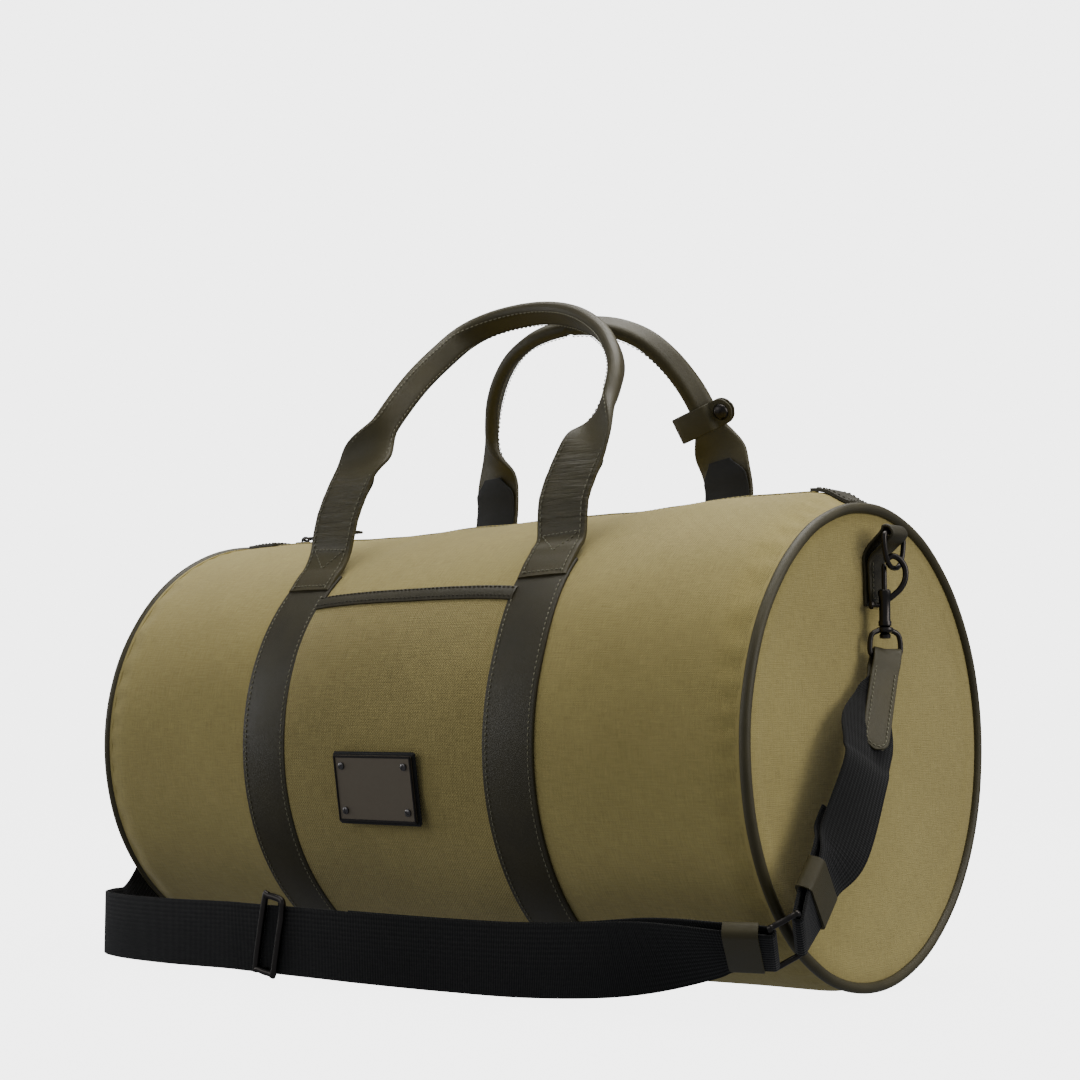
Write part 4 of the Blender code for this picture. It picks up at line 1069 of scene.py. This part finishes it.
def build_strap_end(side):
    """The strap's leather end, folded round the eye's bar and stitched."""
    bar, down = strap_end_axis(side)
    width = eye_across(side)
    face = down.cross(width).normalized() * side
    name = NAMES[side]
    layer = [(0.0610, 0.0019), (0.0450, 0.0019), (0.0300, 0.0019), (0.0140, 0.0022), (0.0050, 0.0029)]
    keys = [bar + down * d + face * off for d, off in layer]
    keys += [bar - down * 0.0022 + face * 0.0020, bar - down * 0.0030, bar - down * 0.0022 - face * 0.0020]
    keys += [bar + down * d - face * off for d, off in reversed(layer)]
    path = smooth_path(keys, 8)
    run = lengths(path)
    widths = []
    for v in run:
        near = min(v, run[-1] - v)
        round_off = math.sqrt(max(1 - max(0, (0.0075 - near) / 0.0076) ** 2, 0.01))
        widths.append(0.0158 * round_off)
    put(band("strap_end_hide_" + name, path, [width] * len(path), widths, 0.0015, KEEPER), "bag", "leather",
        "strap_end_outer_" + name, "strap_end_inner_" + name)
    spots = []
    for sign in (1, -1):
        outline = [(-0.0056, 0.0100), (-0.0056, 0.0540)]
        outline += [(-0.0056 * math.cos(t), 0.0540 + 0.0052 * math.sin(t))
                    for t in (math.pi * k / 8 for k in range(1, 8))]
        outline += [(0.0056, 0.0540), (0.0056, 0.0100)]
        side_way = (width - width.dot(down) * down).normalized()
        line = [bar + down * d + side_way * u + face * sign * (0.0030 if d < 0.02 else 0.0027)
                for u, d in outline]
        spots += stitch_spots(line, [face * sign] * len(line), 0.0028)
    put(repeat("strap_end_stitches_" + name, spots, STITCH, THREAD), "bag", "leather")


# ---------------------------------------------------------------- shoulder strap

WEB_W, WEB_T, LAYER_STEP = 0.0380, 0.0016, 0.0023
END_RUN = [
    ((0.2492, -0.1005, 0.0415), (-0.40, 0.75, -0.53)),
    ((0.2503, -0.0915, 0.0545), (-0.28, 0.78, -0.56)),
    ((0.2518, -0.0805, 0.0690), (-0.20, 0.80, -0.57)),
    ((0.2540, -0.0690, 0.0840), (0.20, 0.87, -0.45)),
]
FRONT_RUN = [
    ((0.2380, -0.1125, 0.0330), (-0.40, 0.75, -0.53)),
    ((0.2220, -0.1205, 0.0335), (-0.36, 0.74, -0.57)),
    ((0.2030, -0.1255, 0.0318), (-0.24, 0.62, -0.75)),
    ((0.1500, -0.1285, 0.0250), (0.0, 0.10, -1.0)),
    ((0.1000, -0.1310, 0.0213), (0.0, 0.0, -1.0)),
    ((0.0500, -0.1345, 0.0205), (0.0, 0.0, -1.0)),
    ((0.0000, -0.1405, 0.0210), (0.0, 0.0, -1.0)),
    ((-0.0300, -0.1420, 0.0213), (0.0, 0.0, -1.0)),
    ((-0.0500, -0.1420, 0.0213), (0.0, 0.0, -1.0)),
    ((-0.0900, -0.1420, 0.0213), (0.0, 0.0, -1.0)),
    ((-0.1100, -0.1420, 0.0213), (0.0, 0.0, -1.0)),
    ((-0.1600, -0.1400, 0.0200), (0.0, 0.0, -1.0)),
    ((-0.2050, -0.1350, 0.0194), (0.0, 0.0, -1.0)),
    ((-0.2320, -0.1260, 0.0194), (0.0, 0.0, -1.0)),
    ((-0.2440, -0.1110, 0.0194), (0.0, 0.0, -1.0)),
    ((-0.2500, -0.0930, 0.0200), (0.0, 0.10, -1.0)),
    ((-0.2530, -0.0770, 0.0290), (0.0, 0.45, -0.90)),
    ((-0.2550, -0.0640, 0.0480), (-0.10, 0.75, -0.66)),
    ((-0.2560, -0.0560, 0.0740), (-0.25, 0.87, -0.40)),
]


def full_run(rows, side, per_span=10):
    """A strap's middle line and width directions, carried on into its leather end."""
    bar, down = strap_end_axis(side)
    rows = rows + [(bar + down * d, eye_across(side)) for d in (0.078, 0.066, 0.053, 0.040, 0.027, 0.014)]
    for back, turned_in in ((6, (side * 0.12, 0.90, -0.42)), (5, (side * 0.16, 0.92, -0.36)),
                            (4, (side * 0.26, 0.92, -0.26)), (3, (side * 0.36, 0.90, -0.14))):
        rows[-back] = (rows[-back][0], Vector(turned_in))
    points = smooth_path([r[0] for r in rows], per_span)
    return points, [a.normalized() for a in smooth_path([r[1] for r in rows], per_span)]


def off_face(points, across, distance):
    return [p + f[2] * distance for p, f in zip(points, frames(points, across))]


def build_webbing(name, node, rows, side, back_count, sign):
    """A run of webbing, doubled back at the corner link and gathered into its leather end."""
    points, across = full_run(rows, side)
    back = off_face(points, across, sign * 2 * LAYER_STEP)
    along = directions(points)[0]
    centre = (points[0] + back[0]) / 2
    out = points[0] - centre
    turn = [centre + out * math.cos(math.radians(d)) - along * out.length * math.sin(math.radians(d))
            for d in (165, 150, 135, 120, 105, 90, 75, 60, 45, 30, 15)]
    whole = list(reversed(back[:back_count])) + turn + points
    sides = list(reversed(across[:back_count])) + [across[0]] * len(turn) + across
    run = lengths(whole)
    left = [run[-1] - v for v in run]
    widths = [0.0130 + (WEB_W - 0.0130) * ease(0.0, 0.044, v) for v in left]
    whole = [p - a * 0.0052 * ease(0.0, 0.012, v) * (1 - ease(0.030, 0.110, v))
             for p, a, v in zip(whole, sides, left)]
    put(band(name, whole, sides, widths, WEB_T, WEB, radius=0.0007), "bag", "webbing", node)
    return points, across


def build_keeper(name, points, across, start, end, sign, node):
    """A leather band sewn round both layers of webbing, with a raised edge line."""
    middle = (points[start] + points[end]) / 2
    along = (points[end] - points[start]).normalized()
    side = across[(start + end) // 2]
    side = (side - side.dot(along) * along).normalized()
    face = along.cross(side).normalized()
    middle = middle + face * sign * LAYER_STEP
    w, t = WEB_W + 0.0034, 0.0092
    outer, inner = rounded(w, t, 0.0036, 5), rounded(w - 0.0030, t - 0.0030, 0.0026, 5)
    half = 0.0086
    rows = []
    for d, outline in ((-half, inner), (-half, outer), (-half + 0.0004, outer), (half - 0.0004, outer),
                       (half, outer), (half, inner)):
        rows.append([middle + along * d + side * u + face * v for u, v in outline])
    put(skin(name, rows, KEEPER, True, True), "bag", "leather", node)


def loop_centre(rows, side, sign):
    """The middle of the turn in which a doubled strap holds the corner link."""
    points, across = full_run(rows, side, 4)
    back = off_face(points, across, sign * 2 * LAYER_STEP)
    return (points[0] + back[0]) / 2


def build_corner_ring():
    """The rectangular link between the strap's short and long parts."""
    one, other = loop_centre(END_RUN, 1, 1), loop_centre(FRONT_RUN, -1, -1)
    centre = (one + other) / 2
    long_way = Vector((-0.40, 0.75, -0.53)).normalized()
    short_way = one - centre
    short_way = short_way - short_way.dot(long_way) * long_way
    a, b = 0.0222, short_way.length
    short_way = short_way.normalized()
    corners = [(a - 0.002, b), (0, b), (-a + 0.002, b), (-a, b - 0.002), (-a, 0), (-a, -b + 0.002),
               (-a + 0.002, -b), (0, -b), (a - 0.002, -b), (a, -b + 0.002), (a, 0), (a, b - 0.002)]
    keys = [centre + long_way * u + short_way * v for u, v in corners]
    put(tube("corner_link", keys, 0.0015, BLACK_METAL, 6, 14, True), "bag", "gunmetal", "corner_ring")


def build_strap_slider():
    """The adjuster: a rounded loop of wire in front of the webbing and a bar behind it."""
    low, high = Vector(SLIDER_LOW), Vector(SLIDER_HIGH)
    c = (low + high) / 2 + Z * 0.0028
    wide, tall = high.x - low.x, high.z - low.z
    front, back = low.y + 0.0009, high.y - 0.0009
    lean = Matrix.Translation(c) @ Matrix.Rotation(math.radians(10), 4, "Y") @ Matrix.Translation(-c)

    def loop(y, w, h):
        """A softly rounded rectangle of wire."""
        keys = []
        for sx, sz in ((1, 1), (-1, 1), (-1, -1), (1, -1)):
            x, z = sx * w / 2, sz * h / 2
            first, second = ((0, -sz), (-sx, 0)) if sx * sz > 0 else ((-sx, 0), (0, -sz))
            for dx, dz in (first, second):
                keys.append((c.x + x + dx * 0.0024, y, c.z + z + dz * 0.0024))
        return [tuple(lean @ Vector(k)) for k in keys]

    ring = tube("slider_loop", loop(front - 0.0008, wide - 0.0046, tall - 0.0012), 0.0019, BLACK_METAL, 5, 14, True)
    bar = tube("slider_bar", [tuple(lean @ Vector((c.x, front, c.z + tall / 2 - 0.0012))),
                              tuple(lean @ Vector((c.x, back, c.z + tall / 2 - 0.0040))),
                              tuple(lean @ Vector((c.x, back, c.z))),
                              tuple(lean @ Vector((c.x, back, c.z - tall / 2 + 0.0040))),
                              tuple(lean @ Vector((c.x, front, c.z - tall / 2 + 0.0014)))], 0.0012, BLACK_METAL)
    put(merged("slider_metal", [ring, bar]), "strap_slider", "gunmetal", "strap_slider")


# ---------------------------------------------------------------- stage

def build_stage():
    """A pale floor that curves up into a backdrop, and four soft lamps."""
    g = Graph("stage")
    diffuse = g.node("ShaderNodeBsdfDiffuse", None, {"Color": (0.86, 0.86, 0.86, 1)})
    glow = g.node("ShaderNodeEmission", None, {"Color": (1, 1, 1, 1), "Strength": 5.45})
    blend = g.node("ShaderNodeMixShader", None, {0: 0.80})
    g.tree.links.new(diffuse.outputs[0], blend.inputs[1])
    g.tree.links.new(glow.outputs[0], blend.inputs[2])
    g.tree.links.new(blend.outputs[0], g.tree.nodes["Material Output"].inputs["Surface"])
    profile = [(-6.0, 0.0), (2.4, 0.0), (3.2, 0.15), (3.8, 0.6), (4.1, 1.4), (4.2, 6.0)]
    away = Matrix.Rotation(0.6612, 4, "Z")
    rows = [[away @ Vector((x, d, z)) for x in (-7, 7)] for d, z in profile]
    floor = skin("stage_floor", rows, g.made)
    floor.visible_diffuse = floor.visible_glossy = False

    world = bpy.data.worlds.new("studio")
    world.use_nodes = True
    world.node_tree.nodes["Background"].inputs[0].default_value = (0.9, 0.93, 1.0, 1)
    world.node_tree.nodes["Background"].inputs[1].default_value = 0.26
    bpy.context.scene.world = world

    def lamp(name, place, target, size, power, colour=(1, 1, 1)):
        data = bpy.data.lights.new(name, "AREA")
        data.shape, data.size, data.size_y = "RECTANGLE", size[0], size[1]
        data.energy, data.color = power, colour
        made = bpy.data.objects.new(name, data)
        made.location = place
        made.rotation_euler = (Vector(target) - Vector(place)).to_track_quat("-Z", "Y").to_euler()
        bpy.context.scene.collection.objects.link(made)

    lamp("top_softbox", (0.1, 0.35, 2.0), (0, 0, 0.1), (2.2, 1.6), 58, (1.0, 0.985, 0.96))
    lamp("right_softbox", (2.1, 0.5, 0.9), (0.2, 0, 0.15), (1.2, 1.4), 23, (1.0, 0.98, 0.95))
    lamp("front_fill", (-0.9, -2.0, 0.9), (0, 0, 0.15), (1.8, 1.2), 10)
    lamp("left_fill", (-2.2, -0.9, 0.5), (-0.2, 0, 0.10), (1.0, 0.8), 9)


def build_camera():
    """A low three-quarter view of the front and the right end."""
    data = bpy.data.cameras.new("camera")
    data.lens, data.sensor_width = 66.3, 36.0
    made = bpy.data.objects.new("camera", data)
    made.location = (0.7447, -0.9447, 0.1476)
    made.rotation_euler = (math.pi / 2 + 0.0872, 0.0, 0.6612)
    bpy.context.scene.collection.objects.link(made)
    bpy.context.scene.camera = made


build_barrel()
build_mouth_seams()
build_ends()
build_inside()
build_straps()
build_pocket()
build_badge()
build_zip()
build_handle("front", FRONT_KEYS)
build_handle("rear", REAR_KEYS)
build_wrap()
for end in (1, -1):
    build_ring(end)
    build_hook(end)
    build_strap_end(end)
run, run_across = build_webbing("webbing_side", "webbing_short", END_RUN, 1, 34, 1)
build_keeper("keeper_side", run, run_across, 11, 17, 1, "keeper_short")
run, run_across = build_webbing("webbing_front", "webbing_long", FRONT_RUN, -1, 66, -1)
build_keeper("keeper_front", run, run_across, 6, 9, -1, "keeper_long")
build_corner_ring()
build_strap_slider()
bpy.data.objects.remove(STITCH, do_unlink=True)
build_camera()
build_stage()
